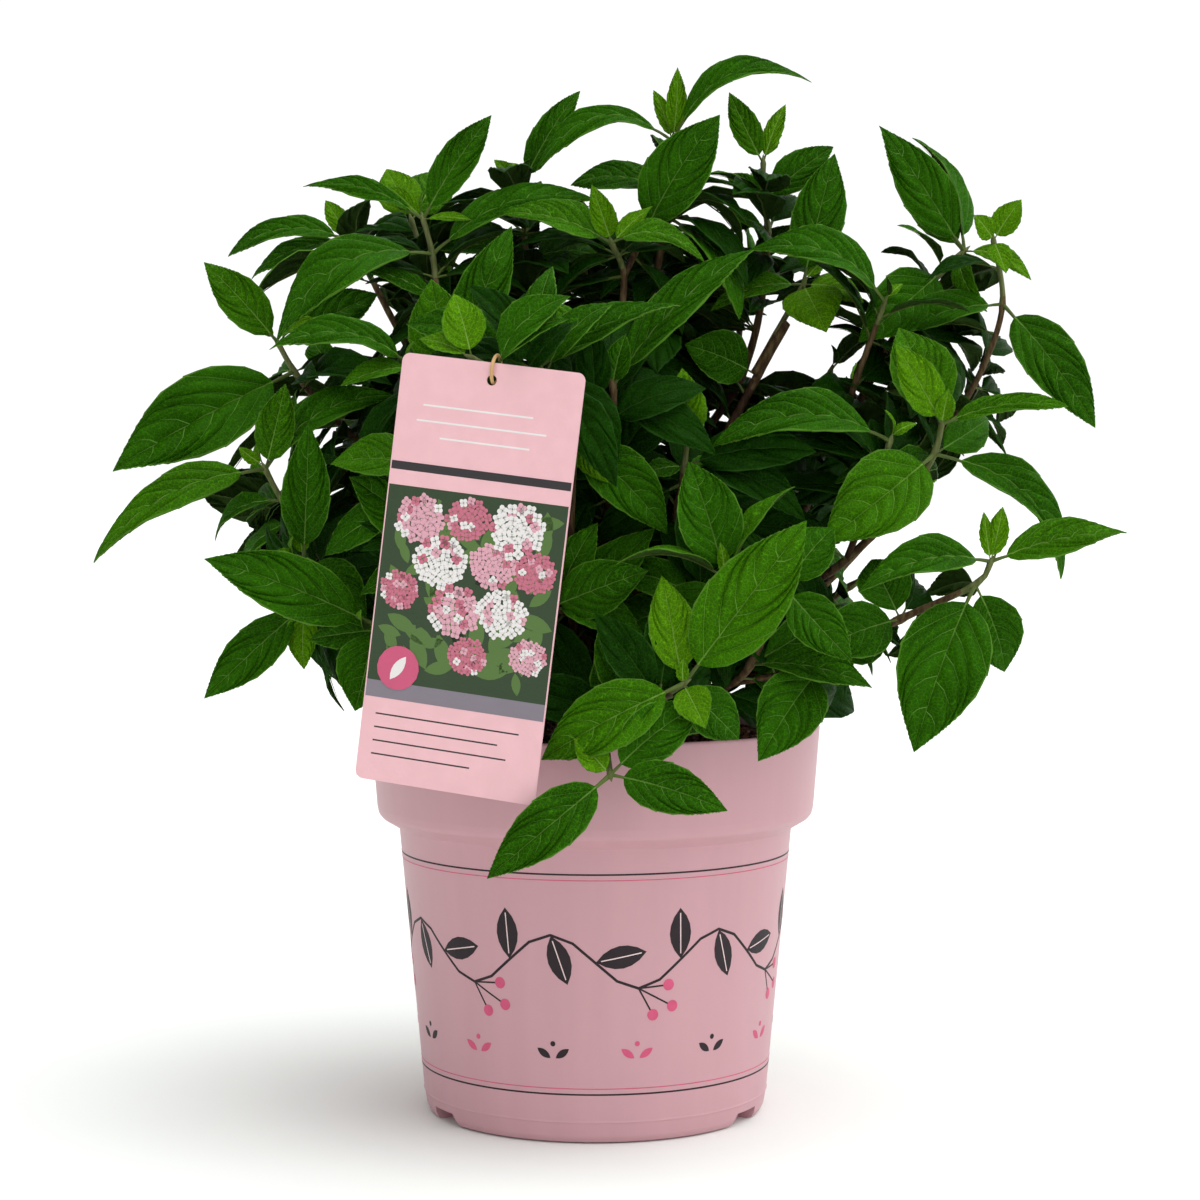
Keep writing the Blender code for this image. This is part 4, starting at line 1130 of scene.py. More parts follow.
@dataclass
class Growth:
    """The seeded rule that grows the whole plant: stems, twigs and leaves, each clear of the rest."""

    fixtures: tuple[bpy.types.Object, ...]
    spur_rounds: int = 9
    spur_step: float = 11
    rng: random.Random = field(default_factory=lambda: random.Random(7))
    fine_rng: random.Random = field(default_factory=lambda: random.Random(11))
    obstacles: Obstacles = field(default_factory=Obstacles)
    masses: list[Mass] = field(default_factory=list)
    stems: dict[str, Twig] = field(default_factory=dict)
    twigs: dict[str, list[Twig]] = field(default_factory=dict)
    blades: dict[str, list[Blade]] = field(default_factory=dict)

    def grow(self) -> None:
        """Grow the plant as the solids do, then carry it on to finer spurs."""
        for fixed in self.fixtures:
            self.obstacles.add_mesh(fixed.name, fixed.data)
        self.masses = [*FRONT_MASSES, *(back_mass(*row, self.rng) for row in BACK_MASSES)]
        leads = {}
        for mass, (foot, way) in zip(self.masses, spread_feet(self.masses)):
            self.blades[mass.name] = []
            leads[mass.name] = self.grow_limbs(mass, foot, way)
        shown, behind, filling = self.grow_twigs(leads)
        for owner, root, leaf, tone in shown:
            self.settle(owner, root, leaf, tone)
        for owner, root, leaf, tone in [*behind, *filling]:
            self.fill(owner, root, leaf, tone)
        log.info("leaves shared with the solids: %d", sum(map(len, self.blades.values())))
        self.grow_tips()
        for _ in range(self.spur_rounds):
            self.grow_spurs()
        log.info("leaves with the finer spurs: %d", sum(map(len, self.blades.values())))

    def grow_limbs(self, mass: Mass, foot: Vector, way: Vector) -> list[Vector]:
        """Grow one stem and the leading twig that starts 0.3 mm past its end.

        Args:
            mass: the mass that the stem carries.
            foot: the stem's foot on the woody base.
            way: its first direction.

        Returns:
            The leading twig's path.
        """
        meets = vec(mass.meets)
        lead = mass.shoots[0]
        knots = [vec(node.at) for node in lead.nodes]
        whole = smooth_path([foot, foot + way * STEM_START * MM, meets, *map(vec, lead.bends), *knots])
        cut = nearest(whole, meets)
        onward = (whole[cut + 1] - whole[cut - 1]).normalized() * MM
        stem_path = [*whole[:cut], meets - onward * END_PIECE, meets]
        self.obstacles.add_mesh("stem_" + mass.name, limb_probe(stem_path, STEM_FOOT_RADIUS, STEM_MEET_RADIUS, 1))
        self.stems[mass.name] = Twig(stem_path, STEM_FOOT_RADIUS, STEM_MEET_RADIUS, stem_path[2:-2:2], False)
        lead_path = [meets + onward * GAP, meets + onward * END_PIECE, *whole[cut + 1 :]]
        probe = limb_probe(budded(lead_path), STEM_MEET_RADIUS, STEM_TIP_RADIUS, 0)
        self.obstacles.add_mesh("limbs_" + mass.name, probe)
        self.twigs[mass.name] = [Twig(lead_path, STEM_MEET_RADIUS, STEM_TIP_RADIUS, knots)]
        return lead_path

    def grow_side_twig(self, mass: Mass, side: Shoot, lead_path: list[Vector]) -> list[Vector] | None:
        """Grow a side shoot's twig.

        Args:
            mass: the mass that it belongs to.
            side: the side shoot.
            lead_path: the leading twig that it leaves.

        Returns:
            Its path, or None where it would touch another limb.
        """
        root = lead_path[max(2, nearest(lead_path, vec(side.fork)))]
        knots = [vec(node.at) for node in side.nodes]
        path = smooth_path([root, *map(vec, side.bends), *knots])
        twig = limb_probe(budded(path), TWIG_ROOT_RADIUS, STEM_TIP_RADIUS, 0)
        if self.touches(twig, ("limbs_" + mass.name,)):
            return None
        self.obstacles.add_mesh("limbs_" + mass.name, twig)
        self.twigs[mass.name].append(Twig(path, TWIG_ROOT_RADIUS, STEM_TIP_RADIUS, knots))
        return path

    def touches(self, mesh: bpy.types.Mesh, own: tuple[str, ...]) -> bool:
        """Returns whether a mesh touches anything that isn't its own."""
        probe = bmesh.new()
        probe.from_mesh(mesh)
        found = self.obstacles.touched_by(probe, own)
        probe.free()
        return found

    def grow_twigs(self, leads: dict[str, list[Vector]]) -> tuple[list, list, list]:
        """Grow the side twigs and list the leaves that are wanted.

        Args:
            leads: each mass's leading twig.

        Returns:
            The leaves that the photograph shows, those of the masses behind, and those down the bare
            twigs, each as owner, root, leaf and tone.
        """
        shown, behind, filling = [], [], []
        for mass in self.masses:
            wanted = shown if mass in FRONT_MASSES else behind
            for shoot in mass.shoots:
                path = leads[mass.name]
                if shoot.fork:
                    path = self.grow_side_twig(mass, shoot, path)
                    if path is None:
                        continue
                last = shoot.nodes[-1]
                for node in shoot.nodes:
                    for leaf in node.leaves:
                        tone = self.tone_of(leaf, vec(node.at), node is last, wanted is shown)
                        wanted.append((mass.name, vec(node.at), leaf, tone))
                bare = path[: nearest(path, vec(shoot.nodes[0].at)) + 1]
                # painted shade: the leaves down the bare twigs, inside the crown, get the dark tone
                filling += [(mass.name, root, leaf, Tone.DARK) for root, leaf in filling_places(bare, self.rng)]
        return shown, behind, filling

    def tone_of(self, leaf: Leaf, root: Vector, at_tip: bool, shown: bool) -> Tone:
        """Choose a leaf's tone: younger at a shoot's tip, darker deep inside the crown as painted shade.

        Args:
            leaf: the leaf.
            root: where it leaves its shoot.
            at_tip: whether that is the shoot's last node.
            shown: whether the photograph shows it.

        Returns:
            Its tone.
        """
        if leaf.tone:
            return leaf.tone
        # painted shade: leaves deep inside the crown get a tone one step darker, for older leaves and for shade
        outer = shown or crown_share(root) > OUTER_SHARE
        if not at_tip:
            return Tone.MATURE if outer else Tone.DARK
        size = leaf.reach().length / MM
        if not outer or size > LONG_LEAF:
            return Tone.MATURE
        return Tone.YOUNG if size < SHORT_LEAF else Tone.BRIGHT

    def place(self, owner: str, root: Vector, reach: Vector, leaf: Leaf, face: Vector, tone: Tone, fine: bool) -> None:
        """Keep a leaf that has found its place, and keep others clear of it.

        Args:
            owner: its mass.
            root: where its stalk leaves the twig.
            reach: the way from there to its tip.
            leaf: the leaf as it was wanted.
            face: the way it faces.
            tone: how old it looks; the dark tone is also painted shade.
            fine: whether it shows well enough to need all its veins.
        """
        mesh = finished_mesh(leaf_probe(root, reach, leaf.width, face, leaf.arch), "leaf")
        self.obstacles.add_mesh("leaves_" + owner, mesh)
        bpy.data.meshes.remove(mesh)
        self.blades[owner].append(Blade(root, reach, face, leaf, tone, fine))

    def settle(self, owner: str, root: Vector, leaf: Leaf, tone: Tone) -> None:
        """Place a leaf at the first small turn of its reach that keeps it clear.

        Args:
            owner: its mass.
            root: where its stalk leaves the twig.
            leaf: the leaf.
            tone: how old it looks; the dark tone is also painted shade.
        """
        facing = facing_of(leaf, root)
        wanted = Vector((leaf.across, leaf.away, leaf.up))
        for nudge in NUDGES:
            reach = (wanted + nudge).normalized() * wanted.length * MM
            face = leaf_face(reach, facing)
            probe = leaf_probe(root, reach, leaf.width, face, leaf.arch, CLEARANCE)
            bmesh.ops.recalc_face_normals(probe, faces=probe.faces)
            touches = self.obstacles.touched_by(probe, ("limbs_" + owner, "leaves_" + owner))
            probe.free()
            if not touches:
                self.place(owner, root, reach, leaf, face, tone, True)
                return

    def fill(self, owner: str, root: Vector, leaf: Leaf, tone: Tone, fine: bool = True) -> bool:
        """Place a rule-made leaf unless it would leave the crown, close a gap or touch anything.

        Args:
            owner: its mass.
            root: where its stalk leaves the twig.
            leaf: the leaf.
            tone: how old it looks; the dark tone is also painted shade.
            fine: whether it gets all its veins.

        Returns:
            Whether it was placed.
        """
        reach = leaf.reach()
        face = leaf_face(reach, facing_of(leaf, root))
        tip = root + reach
        inside = in_crown(tip) or (not fine and over_pot(tip))
        if not inside or (root.y < 0 and reach.y < -FORWARD_LIMIT * MM):
            return False
        if any(hides_sky(root + reach * share, leaf.width * MM * 0.35) for share in (0.3, 0.6, 0.9)):
            return False
        probe = leaf_probe(
            root + reach * BLADE_START, reach * (1 - BLADE_START), leaf.width, face, leaf.arch, CLEARANCE
        )
        touches = self.obstacles.touched_by(probe, ("limbs_" + owner,))
        probe.free()
        petiole = leaf_probe(root, reach, leaf.width, face, leaf.arch, CLEARANCE)
        touches = touches or self.obstacles.touched_by(petiole, ("limbs_" + owner, "leaves_" + owner))
        petiole.free()
        if touches:
            return False
        self.place(owner, root, reach, leaf, face, tone, fine)
        return True

    def grow_tips(self) -> None:
        """Give each twig's bud its first two small leaves."""
        rng = self.fine_rng
        for mass in self.masses:
            for twig in self.twigs[mass.name]:
                stem = (twig.path[-1] - twig.path[-2]).normalized()
                for leaf in opposite_pair(stem, rng.uniform(0, math.tau), rng.uniform(11, 16), rng.uniform(0.9, 1.2), rng):
                    self.fill(mass.name, twig.path[-1] + stem * 2 * MM, leaf, Tone.YOUNG, False)

    def grow_spurs(self) -> None:
        """Carry every stem and twig on to small spurs of two leaves wherever there is room."""
        rng = self.fine_rng
        for mass in self.masses:
            for limb in [self.stems[mass.name], *self.twigs[mass.name]]:
                spots = smooth_path(limb.path, self.spur_step)
                for below, here in zip(spots[1:], spots[2:]):
                    self.grow_spur(mass.name, below, (here - below).normalized(), rng)

    def grow_spur(self, owner: str, root: Vector, stem: Vector, rng: random.Random) -> None:
        """Grow one leaf on a short stalk from a limb.

        Args:
            owner: the mass that the limb belongs to.
            root: the spur's place on the limb.
            stem: the limb's direction there.
            rng: the source of its small differences.
        """
        inner = crown_share(root) < OUTER_SHARE
        pair = opposite_pair(stem, rng.uniform(0, math.tau), rng.uniform(32, 60), rng.uniform(-0.5, 0.6), rng)
        for leaf in pair:
            # painted shade: spurs deep in the crown, and most others, get the dark tone
            self.fill(owner, root, leaf, Tone.DARK if inner or rng.random() < 0.7 else Tone.MATURE, False)


@dataclass(frozen=True)
class LeafForm:
    """A leaf's true form: toothed, quilted between arching veins, with a raised rib below.

    The form is first a grid whose coordinates say which vein's course a vertex lies on (0 at the
    blade's foot to 1 at its tip) and how far out (0 at the midrib to 1 or -1 at the margin).
    """

    veins: tuple[float, ...] = (0.05, 0.19, 0.35, 0.53, 0.73)
    vein_half: float = 0.0038
    lowest_half: float = 0.0018
    vein_taper: float = 0.66
    foot_rows: int = 6
    between: int = 4
    tip_rows: int = 5
    columns: tuple[float, ...] = (0.05, 0.28, 0.52, 0.76, 0.965, 1.0)
    blade_start: float = 0.12
    foot_power: float = 0.64
    tip_power: float = 0.90
    tip_draw: float = 0.34
    sweep: float = 0.70
    stagger: float = 0.022
    midrib: float = 0.60
    stalk_radius: float = 0.85
    thickness: float = 0.0075
    quilt: float = 0.033
    tooth: float = 0.24
    rib_sides: int = 6
    rib_rings: int = 12

    vein_reach: float = 0.90

    KINDS = ("blade", "vein", "under", "rim", "stalk", "midrib")
    NOTCH_MARK = 0.997

    def rows(self) -> list[tuple[float, float]]:
        """Returns the grid's rows: a course each, and how far a vein's edge lies beside it."""
        first = self.veins[0] - self.lowest_half
        rows = [(first * (row / self.foot_rows) ** 1.6, 0.0) for row in range(self.foot_rows)]
        half = self.lowest_half
        for vein, onward in zip(self.veins, (*self.veins[1:], None)):
            rows += [(vein, -half), (vein, half)]
            start, half = vein + half, self.vein_half
            end = 1.0 if onward is None else onward - half
            count = self.tip_rows if onward is None else self.between
            rows += [(start + (end - start) * part / count, 0.0) for part in range(1, count)]
        return [*rows, (1.0, 0.0)]

    def blade_grid(self) -> bpy.types.Mesh:
        """Returns the blade's two layers as a mesh in grid coordinates, the lower one at z = -1."""
        rows = self.rows()
        across = [*(-c for c in reversed(self.columns)), 0.0, *self.columns]
        bm = bmesh.new()
        size = 0.5
        bmesh.ops.create_grid(bm, x_segments=len(rows) - 1, y_segments=len(across) - 1, size=size)
        for vert in bm.verts:
            row = round((vert.co.x / size + 1) / 2 * (len(rows) - 1))
            out = across[round((vert.co.y / size + 1) / 2 * (len(across) - 1))]
            course, beside = rows[row]
            narrowed = 1 - self.vein_taper * min(abs(out) / self.vein_reach, 1)
            notched = self.NOTCH_MARK if abs(out) == 1 and row % 2 else 1
            vert.co = (course + beside * narrowed, out * notched, 0)
        for face in bm.faces:
            middle = face.calc_center_median()
            on_vein = any(abs(middle.x - vein) < self.vein_half * 0.5 for vein in self.veins)
            out = abs(middle.y)
            if out > self.columns[-2]:
                face.material_index = self.KINDS.index("rim")
            elif out < self.columns[0]:
                face.material_index = self.KINDS.index("midrib")
            elif on_vein and out < self.vein_reach:
                face.material_index = self.KINDS.index("vein")
        upper = bm.faces[:]
        made = bmesh.ops.extrude_face_region(bm, geom=upper, use_keep_orig=True)["geom"]
        lower = [item for item in made if isinstance(item, bmesh.types.BMFace)]
        bmesh.ops.translate(bm, verts=[v for v in made if isinstance(v, bmesh.types.BMVert)], vec=(0, 0, -1))
        for face in lower:
            face.material_index = self.KINDS.index("under")
        for face in bm.faces:
            if abs(face.normal.z) < 0.5 and face not in lower and face not in upper:
                face.material_index = self.KINDS.index("rim")
        return finished_mesh(bm, "leaf_blade_grid")

    def rib_grid(self) -> bpy.types.Mesh:
        """Returns the stalk and the rib below the blade: x along the leaf, y and z round the rib."""
        bm = bmesh.new()
        bmesh.ops.create_grid(bm, x_segments=self.rib_rings, y_segments=self.rib_sides, size=0.5)
        for vert in bm.verts:
            turn = (vert.co.y + 0.5) * math.tau
            vert.co = (vert.co.x + 0.5, math.cos(turn), math.sin(turn))
        bmesh.ops.remove_doubles(bm, verts=bm.verts, dist=1e-5)
        bmesh.ops.holes_fill(bm, edges=[edge for edge in bm.edges if edge.is_boundary], sides=self.rib_sides)
        for face in bm.faces:
            face.material_index = self.KINDS.index("stalk")
        return finished_mesh(bm, "leaf_rib_grid")


@dataclass(frozen=True)
class LeafShape:
    """One leaf's own bends on top of the common form."""

    twist: float
    sway: float
    wave: float
    waves: float
    wave_turn: float
    fold: float
    lead: float
    curl: float

    @classmethod
    def drawn(cls, rng: random.Random) -> "LeafShape":
        """Returns a leaf's bends at random."""
        return cls(
            rng.uniform(-0.42, 0.42),
            rng.uniform(-0.03, 0.03),
            rng.uniform(0.007, 0.026),
            rng.uniform(5, 9),
            rng.uniform(0, math.tau),
            rng.uniform(0.08, 0.40),
            rng.choice((-1, 1)) * rng.uniform(0.5, 1.3),
            rng.uniform(-0.01, 0.10),
        )


class LeafPress:
    """Turns the common form's grids into leaves at their places."""

    def __init__(self, form: LeafForm) -> None:
        """Keep a form's grids and their coordinates."""
        self.form = form
        self.meshes = (form.blade_grid(), form.rib_grid())
        self.coordinates = tuple(self.numbers(mesh) for mesh in self.meshes)

    @staticmethod
    def numbers(mesh: bpy.types.Mesh) -> np.ndarray:
        """Returns a mesh's corners as rows of three numbers."""
        flat = np.zeros(len(mesh.vertices) * 3)
        mesh.vertices.foreach_get("co", flat)
        return flat.reshape(-1, 3)

    def outline(self, along: np.ndarray) -> np.ndarray:
        """Returns the blade's half width along it, 1 at its widest: round foot, drawn-out tip."""
        form = self.form
        widest = form.foot_power / (form.foot_power + form.tip_power)
        part = np.clip(along, 0, 1)
        plain = (part / widest) ** form.foot_power * ((1 - part) / (1 - widest)) ** form.tip_power
        return plain * (1 - form.tip_draw * part**5)

    def quilting(self, course: np.ndarray) -> np.ndarray:
        """Returns how far the blade swells between two veins, from 0 on a vein to 1 midway."""
        stops = np.array([0.0, *self.form.veins, 1.0])
        index = np.clip(np.searchsorted(stops, course, side="right") - 1, 0, len(stops) - 2)
        phase = (course - stops[index]) / (stops[index + 1] - stops[index])
        return np.sin(np.pi * np.clip(phase, 0, 1)) ** 0.75

    def blade_places(self, blade: Blade, shape: LeafShape) -> np.ndarray:
        """Work out where the blade's grid lies on one leaf.

        Args:
            blade: the leaf's place.
            shape: its own bends.

        Returns:
            A row of three numbers in metres for each corner.
        """
        form = self.form
        course, out, layer = self.coordinates[0].T
        far = np.abs(out)
        length = blade.reach.length
        half = blade.leaf.width * MM / 2
        advance = form.sweep * (1 - np.exp(-course / 0.06)) * (1 - course)
        along = course + advance * (0.30 * far + 0.70 * far**2)
        stagger = form.stagger * shape.lead * np.sin(np.pi * course) * (1 - far)
        along = along + stagger * np.sign(out) * np.minimum(far / form.columns[0], 1)
        width = self.outline(along)
        narrow = np.minimum(form.midrib * MM / 2 / half * (1 - 0.8 * along), 0.4 * width)
        inner = form.columns[0]
        spread = np.where(far <= inner, narrow * far / inner, narrow + (far - inner) / (1 - inner) * (width - narrow))
        notched = np.where(far > (1 + form.NOTCH_MARK) / 2, 1.0, -0.5)
        teeth = np.where((far > 0.99) & (width > 0.12), form.tooth * MM / half * notched, 0)
        lateral = np.sign(out) * (spread + teeth) * half
        share = form.blade_start + (1 - form.blade_start) * along
        swell = form.quilt * length * self.quilting(course) * (4 * far * (1 - far) + 0.12) ** 0.6
        trough = -0.006 * length * np.exp(-far / 0.06) * (1 - along)
        flutter = shape.wave * length * np.sin(along * shape.waves + shape.wave_turn + out * 1.6) * far**2
        fold = shape.fold * blade.leaf.width * MM / 2 * width * far**1.3
        height = (swell + trough + flutter) * np.sin(np.pi * np.clip(along, 0, 1)) ** 0.4 + fold
        height += layer * form.thickness * max(length, 30 * MM)
        return self.laid(blade, shape, share, lateral, height)

    def rib_places(self, blade: Blade, shape: LeafShape) -> np.ndarray:
        """Work out where the stalk and the rib's grid lies on one leaf, as `blade_places` does."""
        form = self.form
        share, lateral, height = self.coordinates[1].T
        length = blade.reach.length
        start = form.blade_start
        share = share**1.3 * 0.9
        size = min(1.0, length / (62 * MM)) * form.stalk_radius * MM
        radius = size * (1.25 - 0.45 * np.minimum(share / start, 1)) * np.clip((1 - share) / (1 - start), 0.12, 1)
        below = np.clip((share - start * 0.55) / (start * 0.6), 0, 1)
        thick = form.thickness * max(length, 30 * MM)
        middle = -below * (radius * 0.75 + thick * 0.7)
        return self.laid(blade, shape, share, lateral * radius, height * radius + middle)

    def laid(self, blade: Blade, shape: LeafShape, share: np.ndarray, lateral: np.ndarray, height: np.ndarray) -> np.ndarray:
        """Lay flat coordinates along a leaf's arched and twisted middle line.

        Args:
            blade: the leaf's place.
            shape: its own bends.
            share: how far along the leaf each corner lies, from 0 at its root to 1 at its tip.
            lateral: how far beside the middle line, in metres.
            height: how far above it, in metres.

        Returns:
            A row of three numbers in metres for each corner.
        """
        root, reach, face = (np.array(item) for item in (blade.root, blade.reach, blade.face))
        length = blade.reach.length
        side = np.cross(reach, face)
        side /= np.linalg.norm(side)
        turn = shape.twist * (share - 0.35)
        beside = np.cos(turn) * lateral - np.sin(turn) * height
        above = np.sin(turn) * lateral + np.cos(turn) * height
        hump = 4 * share * (1 - share)
        above = above + length * (blade.leaf.arch * hump - shape.curl * share**3)
        beside = beside + shape.sway * length * hump
        return root + share[:, None] * reach + beside[:, None] * side + above[:, None] * face

    def press(self, bm: bmesh.types.BMesh, blade: Blade, shape: LeafShape, slots: dict[str, int]) -> None:
        """Add one leaf to a bmesh.

        Args:
            bm: the bmesh that the leaf joins.
            blade: the leaf's place.
            shape: its own bends.
            slots: the material slot for each of the form's kinds of face.
        """
        for mesh, places in zip(self.meshes, (self.blade_places(blade, shape), self.rib_places(blade, shape))):
            first_vert, first_face = len(bm.verts), len(bm.faces)
            bm.from_mesh(mesh)
            bm.verts.ensure_lookup_table()
            bm.faces.ensure_lookup_table()
            for vert, place in zip(bm.verts[first_vert:], places):
                vert.co = place
            for face in bm.faces[first_face:]:
                face.material_index = slots[LeafForm.KINDS[face.material_index]]
                face.smooth = True


FINE_LEAF = LeafForm()
PLAIN_LEAF = LeafForm(
    veins=(0.07, 0.27, 0.52), foot_rows=3, between=3, tip_rows=4, columns=(0.06, 0.5, 0.955, 1.0), rib_sides=4, rib_rings=6
)


def new_piece(name: str, mesh: bpy.types.Mesh, slot: str, nodes: tuple[str, ...], *finishes: bpy.types.Material) -> bpy.types.Object:
    """Put a finished piece into the scene.

    Args:
        name: the piece's name.
        mesh: its mesh, in place.
        slot: a material slot's name; it is not used.
        nodes: the solids that it stands for.
        finishes: its materials in the order of its faces' material indexes.

    Returns:
        The piece.
    """
    mesh.name = name
    piece = bpy.data.objects.new(name, mesh)
    bpy.context.scene.collection.objects.link(piece)
    for finish in finishes:
        mesh.materials.append(finish)
    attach(piece, BODY)
    if nodes:
        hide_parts(*nodes)
    log.info("%s: %d faces", name, len(mesh.polygons))
    return piece


@dataclass
class BarkTube:
    """A limb's true form: a tapering tube with ridges, swollen at its leaf nodes."""

    twig: Twig
    sides: int = 8
    step: float = 3.5
    ridge: float = 0.055
    knot_swell: float = 0.28
    knot_reach: float = 2.6
    green_from: float = 0.8
    brown_to: float = 0.35

    def add_to(self, bm: bmesh.types.BMesh) -> None:
        """Add the limb to a bmesh, its faces marked 0 for old bark, 1 for middle and 2 for green."""
        twig = self.twig
        coarse = budded(twig.path) if twig.budded else twig.path
        path = smooth_path(coarse, self.step)
        count = len(path) - 1
        part = bmesh.new()
        bmesh.ops.create_grid(part, x_segments=count, y_segments=self.sides, size=0.5)
        frames = self.frames(path)
        for vert in part.verts:
            station = round((vert.co.x + 0.5) * count)
            turn = (vert.co.y + 0.5) * math.tau
            across, up = frames[station]
            radius = self.radius(path, station, turn)
            vert.co = path[station] + (across * math.cos(turn) + up * math.sin(turn)) * radius
        bmesh.ops.remove_doubles(part, verts=part.verts, dist=1e-7)
        bmesh.ops.holes_fill(part, edges=[edge for edge in part.edges if edge.is_boundary], sides=self.sides)
        for face in part.faces:
            share = nearest(path, face.calc_center_median()) / count
            face.smooth = True
            if twig.budded:
                face.material_index = 2 if share > self.green_from else int(share > self.brown_to)
        mesh = finished_mesh(part, "limb")
        bm.from_mesh(mesh)
        bpy.data.meshes.remove(mesh)

    def frames(self, path: list[Vector]) -> list[tuple[Vector, Vector]]:
        """Returns two directions square to the path at each point, carried along without a twist."""
        ways = [(path[min(i + 1, len(path) - 1)] - path[max(i - 1, 0)]).normalized() for i in range(len(path))]
        across = ways[0].orthogonal().normalized()
        frames = []
        for before, way in zip([ways[0], *ways], ways):
            across = before.rotation_difference(way) @ across
            across = (across - way * across.dot(way)).normalized()
            frames.append((across.copy(), way.cross(across)))
        return frames

    def radius(self, path: list[Vector], station: int, turn: float) -> float:
        """Returns the limb's radius in metres at a station, towards a side."""
        twig = self.twig
        count = len(path) - 1
        share = station / count
        size = twig.root_radius + (twig.tip_radius - twig.root_radius) * share**2
        away = min(((path[station] - knot).length / MM for knot in twig.knots), default=99.0)
        size *= 1 + self.knot_swell * math.exp(-((away / self.knot_reach) ** 2))
        size *= 1 + self.ridge * math.sin(turn * 3 + station * 0.7) + self.ridge * 0.5 * math.sin(station * 2.1)
        if twig.budded:
            bud = (path[-1] - path[station]).length / (BUD_LENGTH * MM)
            size *= min(1.0, 0.12 + bud**0.7)
        return size * MM


@dataclass
class Foliage:
    """One mass of the crown: its leaves as one piece and its twigs as another."""

    name: str
    growth: Growth
    presses: dict[bool, LeafPress]
    leaf_finishes: dict[str, bpy.types.Material]
    barks: tuple[bpy.types.Material, ...]

    def build(self) -> None:
        """Make both pieces in place of the mass's solid, and the stem's in place of its own."""
        node = "foliage_" + self.name
        new_piece(node + "_leaves", self.leaves(), "leaves", (node,), *self.leaf_finishes.values())
        new_piece(node + "_twigs", self.tubes(self.growth.twigs[self.name]), "bark", (node,), *self.barks)
        stem = "stem_" + self.name
        new_piece(stem + "_bark", self.tubes([self.growth.stems[self.name]]), "bark", (stem,), *self.barks)

    def leaves(self) -> bpy.types.Mesh:
        """Returns all the mass's leaves as one mesh."""
        rng = random.Random(self.name)
        names = list(self.leaf_finishes)
        bm = bmesh.new()
        for blade in self.growth.blades[self.name]:
            tone = blade.tone.value
            # painted shade: leaves painted dark as shade inside the crown take the dark vein finish for their rims
            rim = "vein_dark" if blade.tone is Tone.DARK else "leaf_rim"
            wanted = ("leaf_" + tone, "vein_" + tone, "leaf_underside", rim, "leaf_stalk", "midrib_" + tone)
            slots = {kind: names.index(finish) for kind, finish in zip(LeafForm.KINDS, wanted)}
            self.presses[blade.fine].press(bm, blade, LeafShape.drawn(rng), slots)
        mesh = finished_mesh(bm, "leaves", False)
        mesh.set_sharp_from_angle(angle=math.radians(60))
        return mesh

    @staticmethod
    def tubes(limbs: list[Twig]) -> bpy.types.Mesh:
        """Returns some limbs as one mesh."""
        bm = bmesh.new()
        for limb in limbs:
            BarkTube(limb).add_to(bm)
        return finished_mesh(bm, "limbs", False)


def spun(profile: list[tuple[float, float]], steps: int) -> bmesh.types.BMesh:
    """Spin a profile about Z.

    Args:
        profile: its radii and heights, in millimetres.
        steps: how many sides the round gets.

    Returns:
        The closed shape, its faces not yet turned out.
    """
    bm = bmesh.new()
    verts = [bm.verts.new((radius * MM, 0, height * MM)) for radius, height in profile]
    edges = [bm.edges.new(pair) for pair in zip(verts, verts[1:])]
    bmesh.ops.spin(
        bm, geom=verts + edges, axis=UP, cent=(0, 0, 0), angle=math.tau, steps=steps, use_merge=True
    )
    bmesh.ops.remove_doubles(bm, verts=bm.verts, dist=1e-6)
    return bm


def eased(profile: list[tuple[float, float]], reach: float, parts: int = 4) -> list[tuple[float, float]]:
    """Round a profile's inner corners.

    Args:
        profile: its points.
        reach: how far from a corner its rounding starts, in millimetres.
        parts: how many pieces each rounding has.

    Returns:
        The points of the rounded profile.
    """
    points = [profile[0]]
    for before, corner, after in zip(profile, profile[1:], profile[2:]):
        here = Vector(corner)
        back, onward = Vector(before) - here, Vector(after) - here
        start = here + back.normalized() * min(reach, back.length * 0.45)
        end = here + onward.normalized() * min(reach, onward.length * 0.45)
        for part in range(parts + 1):
            share = part / parts
            points.append(tuple(start * (1 - share) ** 2 + here * 2 * share * (1 - share) + end * share**2))
    return [*points, profile[-1]]


